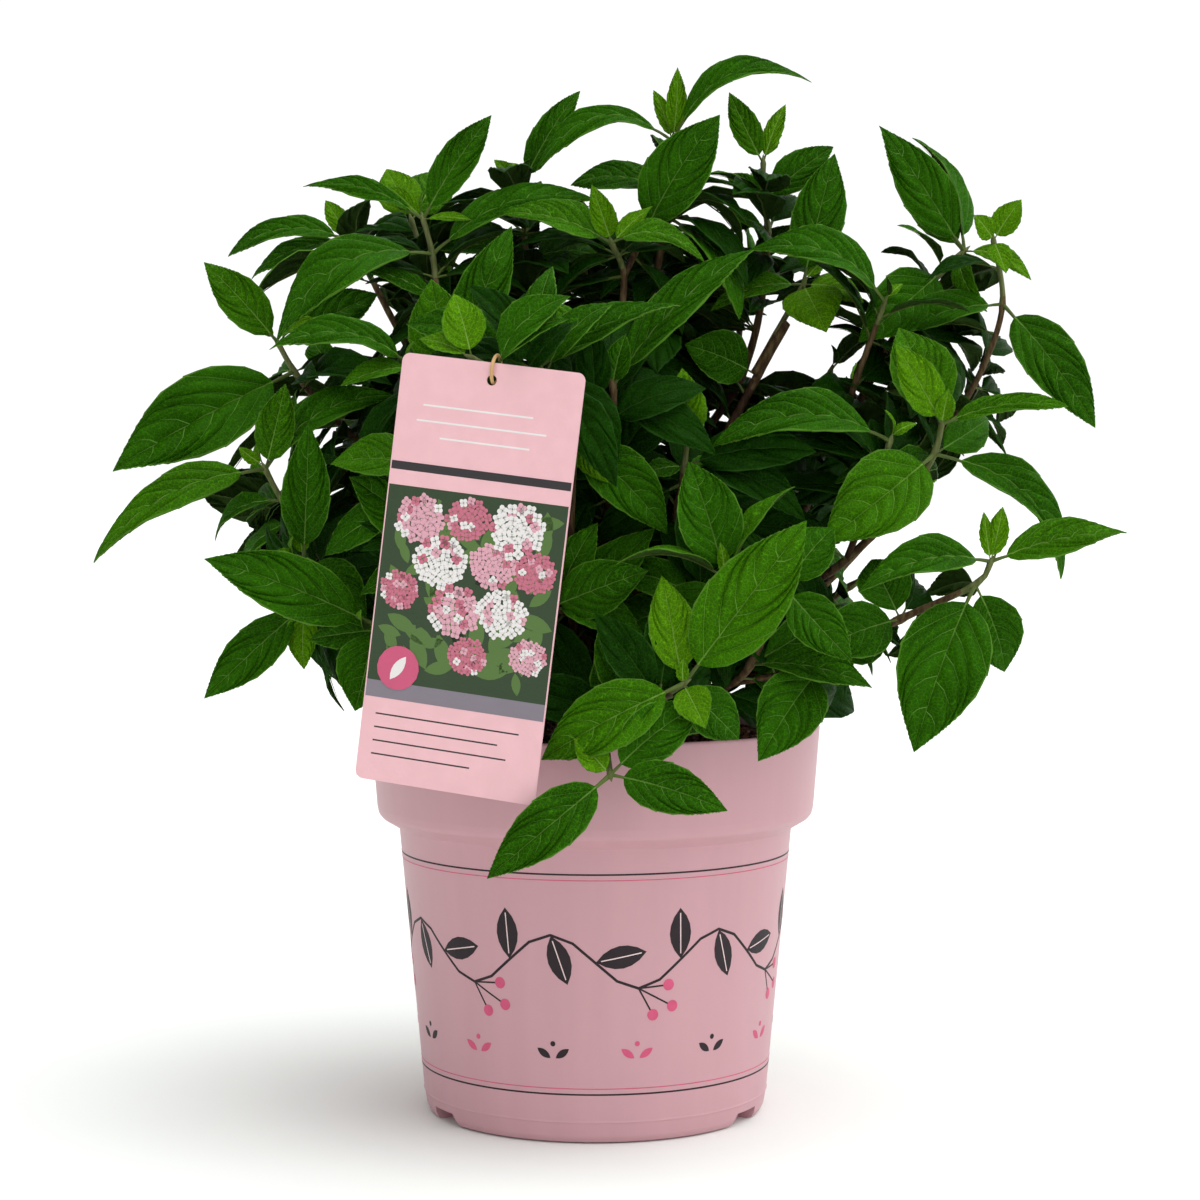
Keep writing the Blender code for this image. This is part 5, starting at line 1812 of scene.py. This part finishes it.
@dataclass
class Pot:
    """The moulded pot: a tapering body under a wide rim band, with notches in its bottom corner."""

    height: float = 166
    wall: float = 1.8
    rim_radius: float = 96.5
    band_radius: float = 93.6
    body_top: float = 84.4
    body_height: float = 122.2
    foot_radius: float = 73
    seam: float = 9.3
    notch_turns: tuple[int, ...] = (-122, -58, 58, 122)
    notch_size: tuple[float, float, float] = (24, 9, 5.7)
    notch_slant: float = 7.6
    sides: int = 192
    plastic: PotFinish = POT_PLASTIC

    def outline(self) -> list[tuple[float, float]]:
        """Returns its outer side from the middle of its underside to the top of its rim."""
        return [
            (0, 0),
            (self.foot_radius - 4, 0),
            (self.foot_radius - 1.5, 0.8),
            (self.foot_radius - 0.2, 3),
            (self.foot_radius + 0.85, self.seam - 0.6),
            (self.foot_radius + 1.25, self.seam),
            (self.foot_radius + 1.0, self.seam + 0.6),
            (self.body_top, self.body_height),
            (self.band_radius - 1.8, self.body_height + 4.4),
            (self.band_radius - 0.4, self.body_height + 6.2),
            (self.band_radius + 0.2, self.body_height + 9),
            (self.rim_radius, self.height - 1),
            (self.rim_radius - 0.5, self.height),
        ]

    def lining(self) -> list[tuple[float, float]]:
        """Returns its inner side from the top of its rim to the middle of its floor."""
        step = self.foot_radius - self.notch_size[1] - self.wall
        return [
            (self.rim_radius - self.wall + 0.3, self.height),
            (self.rim_radius - self.wall, self.height - 1),
            (self.band_radius - self.wall, self.body_height + 8.4),
            (self.band_radius - self.wall - 1.6, self.body_height + 5.6),
            (self.body_top - self.wall, self.body_height + 1),
            (self.foot_radius - self.wall, self.seam + 1),
            (step, self.seam - 1),
            (step, self.wall),
            (0, self.wall),
        ]

    def wall_radius(self, height: float) -> float:
        """Returns the body's outer radius at a height between its seam and its band."""
        share = (height - self.seam - 0.6) / (self.body_height - self.seam - 0.6)
        return self.foot_radius + 1.0 + (self.body_top - self.foot_radius - 1.0) * share

    def notches(self) -> bpy.types.Object:
        """Returns the wedges that leave a drainage notch each, slanting on their inner side."""
        width, depth, height = self.notch_size
        bm = bmesh.new()
        for turn in self.notch_turns:
            made = bmesh.ops.create_cube(bm, size=1)["verts"]
            bmesh.ops.scale(bm, verts=made, vec=vec((width, 2 * depth, 2 * height)))
            slanted_side = -math.copysign(1, math.sin(math.radians(2 * turn)))
            slanted = [vert for vert in made if vert.co.z > 0 and vert.co.x * slanted_side > 0]
            bmesh.ops.translate(bm, verts=slanted, vec=vec((-slanted_side * self.notch_slant, 0, 0)))
            bmesh.ops.translate(bm, verts=made, vec=vec((0, -self.foot_radius, 0)))
            around = Matrix.Rotation(math.radians(turn), 3, "Z")
            bmesh.ops.rotate(bm, verts=made, cent=(0, 0, 0), matrix=around)
        return bpy.data.objects.new("notch_wedges", finished_mesh(bm, "notch_wedges"))

    def build(self) -> None:
        """Make the pot in place of its solid."""
        whole = finished_mesh(spun(eased(self.outline() + self.lining(), 0.6), self.sides), "pot_blank")
        mesh = cut_with(whole, self.notches())
        mesh.shade_smooth()
        mesh.set_sharp_from_angle(angle=math.radians(30))
        new_piece("pot_shell", mesh, "pot_plastic", ("pot",), self.plastic.make())


def cut_with(mesh: bpy.types.Mesh, cutter: bpy.types.Object) -> bpy.types.Mesh:
    """Cut a shape out of a mesh.

    Args:
        mesh: the mesh.
        cutter: the object whose shape goes; it is removed.

    Returns:
        The cut mesh.
    """
    collection = bpy.context.scene.collection
    blank = bpy.data.objects.new(mesh.name, mesh)
    collection.objects.link(blank)
    collection.objects.link(cutter)
    step = blank.modifiers.new("cut", "BOOLEAN")
    step.operation = "DIFFERENCE"
    step.object = cutter
    view = bpy.context.evaluated_depsgraph_get()
    cut = bpy.data.meshes.new_from_object(blank.evaluated_get(view))
    bpy.data.objects.remove(blank)
    bpy.data.objects.remove(cutter)
    return cut


class Motif(Enum):
    """The shapes that the prints are made of."""

    LEAF = "leaf"
    DISC = "disc"
    BAR = "bar"


@dataclass(frozen=True)
class Mark:
    """One printed shape, laid out flat in millimetres."""

    motif: Motif
    across: float
    up: float
    length: float
    width: float
    ink: int
    turn: float = 0
    layer: int = 0
    parts: tuple[int, int] = (6, 4)


@dataclass
class Print:
    """Thin printed shapes on a surface."""

    marks: list[Mark]
    inks: tuple[bpy.types.Material, ...]
    film: float = 0.05
    layer_step: float = 0.03

    def build(self, name: str, slot: str, nodes: tuple[str, ...], lay: Callable[[float, float, float], Vector]) -> None:
        """Make the print as one piece.

        Args:
            name: the piece's name.
            slot: a material slot's name, handed on to new_piece.
            nodes: the solids that it stands for.
            lay: brings a place (across, up) and a lift, in millimetres, to the surface in metres.
        """
        bm = bmesh.new()
        for mark in self.marks:
            part = bmesh.new()
            bmesh.ops.create_grid(part, x_segments=mark.parts[0], y_segments=mark.parts[1], size=0.5)
            self.shape(part, mark)
            upper = part.faces[:]
            made = bmesh.ops.extrude_face_region(part, geom=upper, use_keep_orig=True)["geom"]
            raised = {vert for vert in made if isinstance(vert, bmesh.types.BMVert)}
            base = 0.02 + mark.layer * self.layer_step
            for vert in part.verts:
                lift = base + self.film if vert in raised else base
                vert.co = lay(vert.co.x, vert.co.y, lift)
            for face in part.faces:
                face.material_index = mark.ink
            mesh = finished_mesh(part, "mark")
            bm.from_mesh(mesh)
            bpy.data.meshes.remove(mesh)
        new_piece(name, finished_mesh(bm, name, False), slot, nodes, *self.inks)

    def shape(self, part: bmesh.types.BMesh, mark: Mark) -> None:
        """Bring a grid to the mark's outline, size and place.

        Args:
            part: the grid, 1 wide and 1 high.
            mark: the mark.
        """
        turn = math.radians(mark.turn)
        for vert in part.verts:
            x, y = vert.co.x, vert.co.y
            if mark.motif is Motif.DISC:
                x, y = x * math.sqrt(1 - 2 * y * y), y * math.sqrt(1 - 2 * x * x)
            elif mark.motif is Motif.LEAF:
                y *= math.sin(math.pi * (x + 0.5)) ** 0.8
            x, y = x * mark.length, y * mark.width
            vert.co = (
                mark.across + x * math.cos(turn) - y * math.sin(turn),
                mark.up + x * math.sin(turn) + y * math.cos(turn),
                0,
            )


@dataclass
class PotPrint:
    """A plain garland round the pot's body: a waving stem with leaves and berries, between rules."""

    pot: Pot
    middle: float = 76
    swing: float = 11
    waves: int = 7
    leaf_size: tuple[float, float] = (21, 9.5)
    berry_size: float = 4.8
    low_row: float = 38
    low_motifs: int = 14
    charcoal: Colour = (0.030, 0.022, 0.026)
    rose: Colour = (0.62, 0.10, 0.20)
    pale: Colour = (0.80, 0.62, 0.62)

    def marks(self) -> list[Mark]:
        """Returns the garland's marks, laid out along the pot's girth at its middle height."""
        girth = math.tau * self.pot.wall_radius(self.middle)
        marks = [
            Mark(Motif.BAR, 0, 112, girth, 0.7, 0, parts=(190, 1)),
            Mark(Motif.BAR, 0, 109.6, girth, 0.35, 1, parts=(190, 1)),
            Mark(Motif.BAR, 0, 21, girth, 0.7, 0, parts=(190, 1)),
            Mark(Motif.BAR, 0, 23.4, girth, 0.35, 1, parts=(190, 1)),
        ]
        steps = self.waves * 8
        for index in range(steps):
            start, end = (self.stem_place(girth, index + part, steps) for part in (0, 1))
            way = end - start
            middle = (start + end) / 2
            lean = math.degrees(math.atan2(way.y, way.x))
            marks.append(Mark(Motif.BAR, middle.x, middle.y, way.length * 1.02, 1.1, 0, lean, parts=(3, 1)))
            if index % 2 == 0:
                side = 1 if index % 4 == 0 else -1
                marks += self.sprig(start, lean, side, index)
        for index in range(self.low_motifs):
            across = girth * ((index + 0.5) / self.low_motifs - 0.5)
            marks += self.low_motif(across, index % 2)
        return marks

    def low_motif(self, across: float, ink: int) -> list[Mark]:
        """Returns two small leaves and a dot, in one ink, for the row under the garland."""
        leaves = [Mark(Motif.LEAF, across + side * 4, self.low_row, 7, 3, ink, side * 35) for side in (-1, 1)]
        return [*leaves, Mark(Motif.DISC, across, self.low_row + 4, 2.2, 2.2, ink)]

    def stem_place(self, girth: float, index: int, steps: int) -> Vector:
        """Returns a place on the garland's stem."""
        share = index / steps
        return Vector(((share - 0.5) * girth, self.middle + self.swing * math.sin(share * self.waves * math.tau)))

    def sprig(self, start: Vector, lean: float, side: int, index: int) -> list[Mark]:
        """Make one leaf, or three berries on their stalk, beside the garland's stem.

        Args:
            start: where it leaves the stem.
            lean: the stem's slope there, in degrees.
            side: 1 above the stem, -1 below it.
            index: which one it is.

        Returns:
            Its marks.
        """
        turn = lean + side * 52
        way = Vector((math.cos(math.radians(turn)), math.sin(math.radians(turn))))
        if index % 8 != 6:
            length, width = self.leaf_size
            middle = start + way * (length / 2 + 0.4)
            leaf = Mark(Motif.LEAF, middle.x, middle.y, length, width, 0, turn)
            return [leaf, Mark(Motif.BAR, middle.x, middle.y, length * 0.8, 0.45, 2, turn, 1)]
        marks = []
        for spread, reach in ((-28, 13), (4, 17), (36, 13)):
            arm = Vector((math.cos(math.radians(turn + spread)), math.sin(math.radians(turn + spread))))
            middle, tip = start + arm * reach / 2, start + arm * reach
            marks.append(Mark(Motif.BAR, middle.x, middle.y, reach, 0.7, 0, turn + spread))
            marks.append(Mark(Motif.DISC, tip.x, tip.y, self.berry_size, self.berry_size, 1, layer=1))
        return marks

    def on_wall(self, across: float, up: float, lift: float) -> Vector:
        """Returns a place on the pot's body, in metres; 0 across is at its front."""
        turn = across / self.pot.wall_radius(self.middle) - math.pi / 2
        radius = self.pot.wall_radius(up) + lift
        return vec((radius * math.cos(turn), radius * math.sin(turn), up))

    def build(self) -> None:
        """Make the print."""
        inks = (
            PlainFinish("print_charcoal", self.charcoal, 0.45).make(),
            PlainFinish("print_rose", self.rose, 0.45).make(),
            PlainFinish("print_pale", self.pale, 0.45).make(),
        )
        Print(self.marks(), inks).build("pot_print", "pot_plastic", ("pot",), self.on_wall)


@dataclass
class Soil:
    """The potting soil, with crumbs and fibres on its top."""

    pot: Pot
    top: float = SOIL_TOP
    rings: tuple[tuple[float, float], ...] = ((93.8, 1.0), (86, 0.6), (78, 0.5), (65, 1.1), (52, 1.5), (41, 0.7))
    edge: float = 93.6
    relief: float = 1.1
    sides: int = 120
    crumbs: int = 700
    fibres: int = 900
    finish: SoilFinish = SOIL

    def build(self) -> None:
        """Make the soil and what lies on it in place of its solid."""
        side = [(radius - GAP, height + GAP) for radius, height in reversed(self.pot.lining()[2:-1])]
        rings = [(radius, self.top - drop) for radius, drop in self.rings]
        inside = [(radius, self.top) for radius in (30, 22, 15, 8, 0)]
        bm = spun([(0, self.pot.wall + GAP), *side, *rings, *inside], self.sides)
        bmesh.ops.recalc_face_normals(bm, faces=bm.faces)
        for vert in bm.verts:
            if vert.co.z > (self.top - 3) * MM and vert.co.xy.length < self.edge * MM:
                lumps = noise.fractal(vert.co / MM * 0.09, 1.0, 2.0, 3) + 0.6 * noise.noise(vert.co / MM * 0.5)
                vert.co.z += (lumps - 0.5) * self.relief * MM
        mesh = finished_mesh(bm, "soil")
        mesh.shade_smooth()
        new_piece("soil_body", mesh, "potting_soil", ("potting_soil",), self.finish.make())
        new_piece("soil_litter", self.litter(), "potting_soil", ("potting_soil",), self.finish.make(), FIBRE.make())

    def litter(self) -> bpy.types.Mesh:
        """Returns the loose crumbs and fibres as one mesh."""
        rng = random.Random(3)
        bm = bmesh.new()
        for index in range(self.crumbs + self.fibres):
            turn, reach = rng.uniform(0, math.tau), 91 * math.sqrt(rng.random())
            is_fibre = index >= self.crumbs
            fibre_size = (rng.uniform(3, 12), rng.uniform(0.4, 1.0), 0.45)
            size = fibre_size if is_fibre else (rng.uniform(1.0, 2.8),) * 3
            reach = min(reach, self.edge - size[0] / 2 - 1)
            if reach < STUMP_RADIUS + 6:
                continue
            part = bmesh.new()
            made = bmesh.ops.create_icosphere(part, subdivisions=1, radius=0.5)["verts"]
            bmesh.ops.scale(part, verts=made, vec=vec(size))
            heading = Matrix.Rotation(rng.uniform(0, math.tau), 3, "Z")
            tumble = heading @ Matrix.Rotation(rng.uniform(-0.3, 0.3), 3, "Y")
            bmesh.ops.rotate(part, verts=made, cent=(0, 0, 0), matrix=tumble)
            place = (reach * math.cos(turn), reach * math.sin(turn), self.top - 0.7)
            bmesh.ops.translate(part, verts=made, vec=vec(place))
            for face in part.faces:
                face.material_index = int(is_fibre)
            mesh = finished_mesh(part, "crumb", False)
            bm.from_mesh(mesh)
            bpy.data.meshes.remove(mesh)
        return finished_mesh(bm, "litter", False)


@dataclass
class WoodyBase:
    """The short woody stump that the stems leave."""

    foot: float = SOIL_TOP + GAP
    flare: float = 5
    sides: int = 56
    relief: float = 0.7
    bark: BarkFinish = OLD_BARK

    def build(self) -> None:
        """Make the stump in place of its solid."""
        crown = self.foot + STUMP_NECK
        profile = [(0, self.foot), (STUMP_RADIUS + self.flare, self.foot), (STUMP_RADIUS + 1, self.foot + 2)]
        for step in range(9):
            rise = math.radians(90 * step / 9)
            profile.append((STUMP_RADIUS * math.cos(rise), crown + STUMP_RADIUS * math.sin(rise)))
        profile.append((0, crown + STUMP_RADIUS))
        bm = spun(eased(profile, 1.2, 3), self.sides)
        bmesh.ops.recalc_face_normals(bm, faces=bm.faces)
        for vert in bm.verts:
            if vert.co.z > (self.foot + 0.5) * MM:
                furrow = noise.noise(Vector((vert.co.x, vert.co.y, vert.co.z * 0.3)) / MM * 0.5)
                vert.co += vert.normal * (furrow - 0.4) * self.relief * MM
        mesh = finished_mesh(bm, "stump")
        mesh.shade_smooth()
        new_piece("woody_base_bark", mesh, "bark", ("woody_base",), self.bark.make())


@dataclass
class HangTag:
    """The printed card that hangs from a twig by its tie."""

    corner: float = 3.2
    eyelet_drop: float = 6.7
    eyelet_radius: float = 2
    tie_reach: float = 5.5
    tie_centre: tuple[float, float, float] = (0, 3.5, TAG_HEIGHT / 2 - 2.5)
    tie_radius: float = 0.7
    rubber: PlainFinish = TIE_RUBBER
    paper: Colour = (0.72, 0.69, 0.68)
    pink: Colour = (0.74, 0.435, 0.470)
    rose: Colour = (0.52, 0.075, 0.165)
    dark: Colour = (0.020, 0.015, 0.018)
    grey: Colour = (0.19, 0.165, 0.20)
    green: Colour = (0.016, 0.040, 0.010)
    light_green: Colour = (0.070, 0.145, 0.026)
    blush: Colour = (0.64, 0.33, 0.40)
    deep_rose: Colour = (0.50, 0.135, 0.20)
    heads: tuple[tuple[float, float, float, int], ...] = (
        (-22, 20, 9.5, 7),
        (-3, 22, 8.5, 8),
        (17, 21, 10.5, 0),
        (-12, 5, 10.5, 0),
        (9, 6, 9, 7),
        (26, 5, 8, 8),
        (-27, -8, 7.5, 8),
        (-4, -13, 10, 7),
        (15, -12, 9.5, 0),
        (27, -27, 7, 7),
        (3, -30, 7.5, 8),
    )

    def placed(self, bm: bmesh.types.BMesh, name: str) -> bpy.types.Mesh:
        """Bring a shape made in millimetres about the tag's middle to its place as a mesh."""
        for vert in bm.verts:
            vert.co = vec(on_tag(vert.co))
        return finished_mesh(bm, name)

    def card(self) -> bpy.types.Mesh:
        """Returns the card with its rounded corners and its eyelet."""
        bm = bmesh.new()
        made = bmesh.ops.create_cube(bm, size=1)["verts"]
        bmesh.ops.scale(bm, verts=made, vec=(TAG_WIDTH, TAG_THICKNESS, TAG_HEIGHT))
        upright = [edge for edge in bm.edges if abs(edge.verts[0].co.y - edge.verts[1].co.y) > TAG_THICKNESS / 2]
        bmesh.ops.bevel(bm, geom=upright, offset=self.corner, affect="EDGES", segments=8, profile=0.5, material=-1)
        hole = bmesh.new()
        level = Matrix.Translation((0, 0, TAG_HEIGHT / 2 - self.eyelet_drop)) @ Matrix.Rotation(math.pi / 2, 4, "X")
        radius = self.eyelet_radius
        bmesh.ops.create_cone(
            hole, cap_ends=True, segments=40, radius1=radius, radius2=radius, depth=4 * TAG_THICKNESS, matrix=level
        )
        cutter = bpy.data.objects.new("eyelet", self.placed(hole, "eyelet"))
        return cut_with(self.placed(bm, "card"), cutter)

    def tie(self) -> bpy.types.Mesh:
        """Returns the ring of the tie."""
        ring = bmesh.new()
        wire = bmesh.ops.create_circle(ring, segments=14, radius=self.tie_radius)["verts"]
        bmesh.ops.translate(ring, verts=wire, vec=(0, self.tie_reach, 0))
        geom = ring.verts[:] + ring.edges[:]
        bmesh.ops.spin(ring, geom=geom, axis=(1, 0, 0), cent=(0, 0, 0), angle=math.tau, steps=56, use_merge=True)
        bmesh.ops.remove_doubles(ring, verts=ring.verts, dist=1e-4)
        bmesh.ops.translate(ring, verts=ring.verts, vec=self.tie_centre)
        mesh = self.placed(ring, "tie")
        mesh.shade_smooth()
        return mesh

    def marks(self) -> list[Mark]:
        """Returns the card's print: coloured fields, thin rules and plain blossoms among leaves."""
        half_up = TAG_HEIGHT / 2
        inside = TAG_WIDTH - 1.0
        marks = [
            Mark(Motif.BAR, 0, half_up - 26, inside, 29, 1),
            Mark(Motif.BAR, 0, half_up - 43, inside, 3.2, 3, layer=1),
            Mark(Motif.BAR, 0, -6, inside, 76, 5),
            Mark(Motif.BAR, 0, -47, inside, 6.5, 4, layer=1),
            Mark(Motif.BAR, 0, -half_up + 16.5, inside, 31, 1),
        ]
        for row, length in enumerate((44, 52, 36)):
            marks.append(Mark(Motif.BAR, -4 + row * 2, half_up - 19 - row * 6, length, 0.7, 0, layer=1))
        for row, length in enumerate((58, 50, 54, 40)):
            marks.append(Mark(Motif.BAR, (length - 62) / 2, -half_up + 26 - row * 5.2, length, 0.6, 3, layer=1))
        marks.append(Mark(Motif.DISC, -24, -38, 17, 17, 2, layer=30))
        marks.append(Mark(Motif.LEAF, -24, -38, 11, 4.2, 0, 60, layer=31))
        marks += self.picture()
        return marks

    def picture(self) -> list[Mark]:
        """Returns the picture's marks: leaves fanned out behind round heads of blossom."""
        rng = random.Random(5)
        marks = []
        for index in range(110):
            across, up = rng.uniform(-30, 30), rng.uniform(-38, 26)
            length = rng.uniform(8, 15)
            reach = max(0.0, abs(across) + length / 2 - 35.5)
            across -= math.copysign(reach, across)
            up = min(max(up, -43 + length / 2 + 1), 32 - length / 2 - 1)
            ink = 5 if index % 3 == 0 else 6
            marks.append(Mark(Motif.LEAF, across, up, length, length * 0.42, ink, rng.uniform(0, 180), 1 + index % 6))
        for across, up, size, ink in self.heads:
            for ring, count in ((0.0, 1), (0.36, 6), (0.66, 11), (0.92, 15)):
                for index in range(count):
                    turn = math.tau * index / count + ring * 3
                    reach = size * ring * rng.uniform(0.88, 1.06)
                    middle = (across + reach * math.cos(turn), up + reach * 0.92 * math.sin(turn))
                    tint = ink if rng.random() < 0.66 else rng.choice((0, 7, 8))
                    marks += self.floret(middle, size * 0.21, tint, 8 + (index + int(ring * 10)) % 5 * 2, rng)
        return marks

    def floret(self, middle: tuple[float, float], size: float, ink: int, layer: int, rng: random.Random) -> list[Mark]:
        """Make one four-petalled floret.

        Args:
            middle: its place on the card.
            size: how far its petals reach, in millimetres.
            ink: its petals' ink.
            layer: the layer that it is printed in.
            rng: the source of its turn.

        Returns:
            Its marks.
        """
        first = rng.uniform(0, 90)
        marks = []
        for part in range(4):
            turn = math.radians(first + 90 * part)
            across, up = middle[0] + size * 0.52 * math.cos(turn), middle[1] + size * 0.52 * math.sin(turn)
            marks.append(Mark(Motif.DISC, across, up, size * 1.05, size * 0.95, ink, first + 90 * part, layer, (2, 2)))
        marks.append(Mark(Motif.DISC, *middle, size * 0.28, size * 0.28, 6, 0, layer + 1, (2, 2)))
        return marks

    def on_card(self, across: float, up: float, lift: float) -> Vector:
        """Returns a place on the card's front, in metres."""
        return vec(on_tag((across, -TAG_THICKNESS / 2 - lift, up)))

    def build(self) -> None:
        """Make the card, its print and its tie in place of their solids."""
        names = ("paper", "pink", "rose", "dark", "grey", "green", "light_green", "blush", "deep_rose")
        inks = tuple(PlainFinish("tag_" + name, getattr(self, name), 0.34, 0.4, 0.96).make() for name in names)
        new_piece("hang_tag_sheet", self.card(), "tag_card", ("hang_tag_card",), inks[1])
        print_layer = Print(self.marks(), inks, 0.012, 0.008)
        print_layer.build("hang_tag_print", "tag_card", ("hang_tag_card",), self.on_card)
        new_piece("hang_tag_ring", self.tie(), "tie_rubber", ("hang_tag_tie",), self.rubber.make())


@dataclass
class Studio:
    """The pale floor, the soft light and the camera at the photograph's place."""

    eye: tuple[float, float, float] = (2, -1170, 270)
    dip: float = 2.5
    lens: float = 81.63
    floor_size: float = 60
    floor_colour: Colour = (0.86, 0.885, 0.86)
    horizon: float = 1.06
    overhead: tuple[float, float] = (0.36, 1.66)
    horizon_band: tuple[float, float] = (0.18, 0.30)
    key_strength: float = 1.55
    key_tilt: float = 14
    key_turn: float = 48
    key_spread: float = 60

    def build(self) -> None:
        """Set up the studio."""
        self.floor()
        self.light()
        self.camera()
        bpy.context.scene.view_settings.view_transform = "Standard"

    def floor(self) -> None:
        """Lay the floor."""
        bm = bmesh.new()
        bmesh.ops.create_grid(bm, x_segments=1, y_segments=1, size=self.floor_size / 2)
        sheet = bpy.data.objects.new("studio_floor", finished_mesh(bm, "studio_floor"))
        bpy.context.scene.collection.objects.link(sheet)
        graph = Graph(bpy.data.materials.new("studio_floor"))
        graph.surface(Base_Color=(*self.floor_colour, 1), Roughness=0.9, Specular=0.1)
        sheet.data.materials.append(graph.owner)

    def light(self) -> None:
        """Set one broad soft lamp, high in front on the right, in a surround white at eye level."""
        graph = Graph(bpy.data.worlds.new("studio"), "Background")
        way = graph.node("ShaderNodeTexCoord").outputs["Generated"]
        overhead = graph.contrast(graph.value("ShaderNodeSeparateXYZ", None, {0: way}, "Z"), *self.horizon_band)
        rightward = graph.contrast(graph.value("ShaderNodeSeparateXYZ", None, {0: way}, "X"), -0.7, 0.7)
        left, right = self.overhead
        dimming = left - self.horizon + (right - left) * rightward
        graph.surface(Color=(1, 1, 1, 1), Strength=self.horizon + dimming * overhead)
        bpy.context.scene.world = graph.owner
        lamp = bpy.data.lights.new("key_lamp", "SUN")
        lamp.energy = self.key_strength
        lamp.angle = math.radians(self.key_spread)
        hung = bpy.data.objects.new("key_lamp", lamp)
        hung.rotation_euler = (math.radians(self.key_tilt), 0, math.radians(self.key_turn))
        bpy.context.scene.collection.objects.link(hung)

    def camera(self) -> None:
        """Place the camera."""
        lens = bpy.data.cameras.new("camera")
        lens.lens = self.lens
        lens.sensor_width = 36
        lens.clip_start = 0.05
        placed = bpy.data.objects.new("camera", lens)
        placed.location = vec(self.eye)
        placed.rotation_euler = (math.radians(90 - self.dip), 0, 0)
        bpy.context.scene.collection.objects.link(placed)
        bpy.context.scene.camera = placed


def leaf_materials() -> dict[str, bpy.types.Material]:
    """Returns the leaves' materials by name, in the order of their slots."""
    finishes = (*LEAF_TONES.values(), *VEIN_TONES.values(), *MIDRIB_TONES.values(), RIM, UNDERSIDE, PETIOLE)
    return {finish.name: finish.make() for finish in finishes}


def main() -> None:
    """Build the dressed model and its studio."""
    logging.basicConfig(level=logging.INFO, format="%(message)s")
    growth = Growth(tuple(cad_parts[name] for name in FIXTURES))
    growth.grow()
    pot = Pot()
    pot.build()
    PotPrint(pot).build()
    Soil(pot).build()
    WoodyBase().build()
    HangTag().build()
    finishes = leaf_materials()
    barks = tuple(bark.make() for bark in (OLD_BARK, MIDDLE_BARK, GREEN_BARK))
    presses = {True: LeafPress(FINE_LEAF), False: LeafPress(PLAIN_LEAF)}
    for mass in growth.masses:
        Foliage(mass.name, growth, presses, finishes, barks).build()
    Studio().build()


if __name__ == "__main__":
    main()
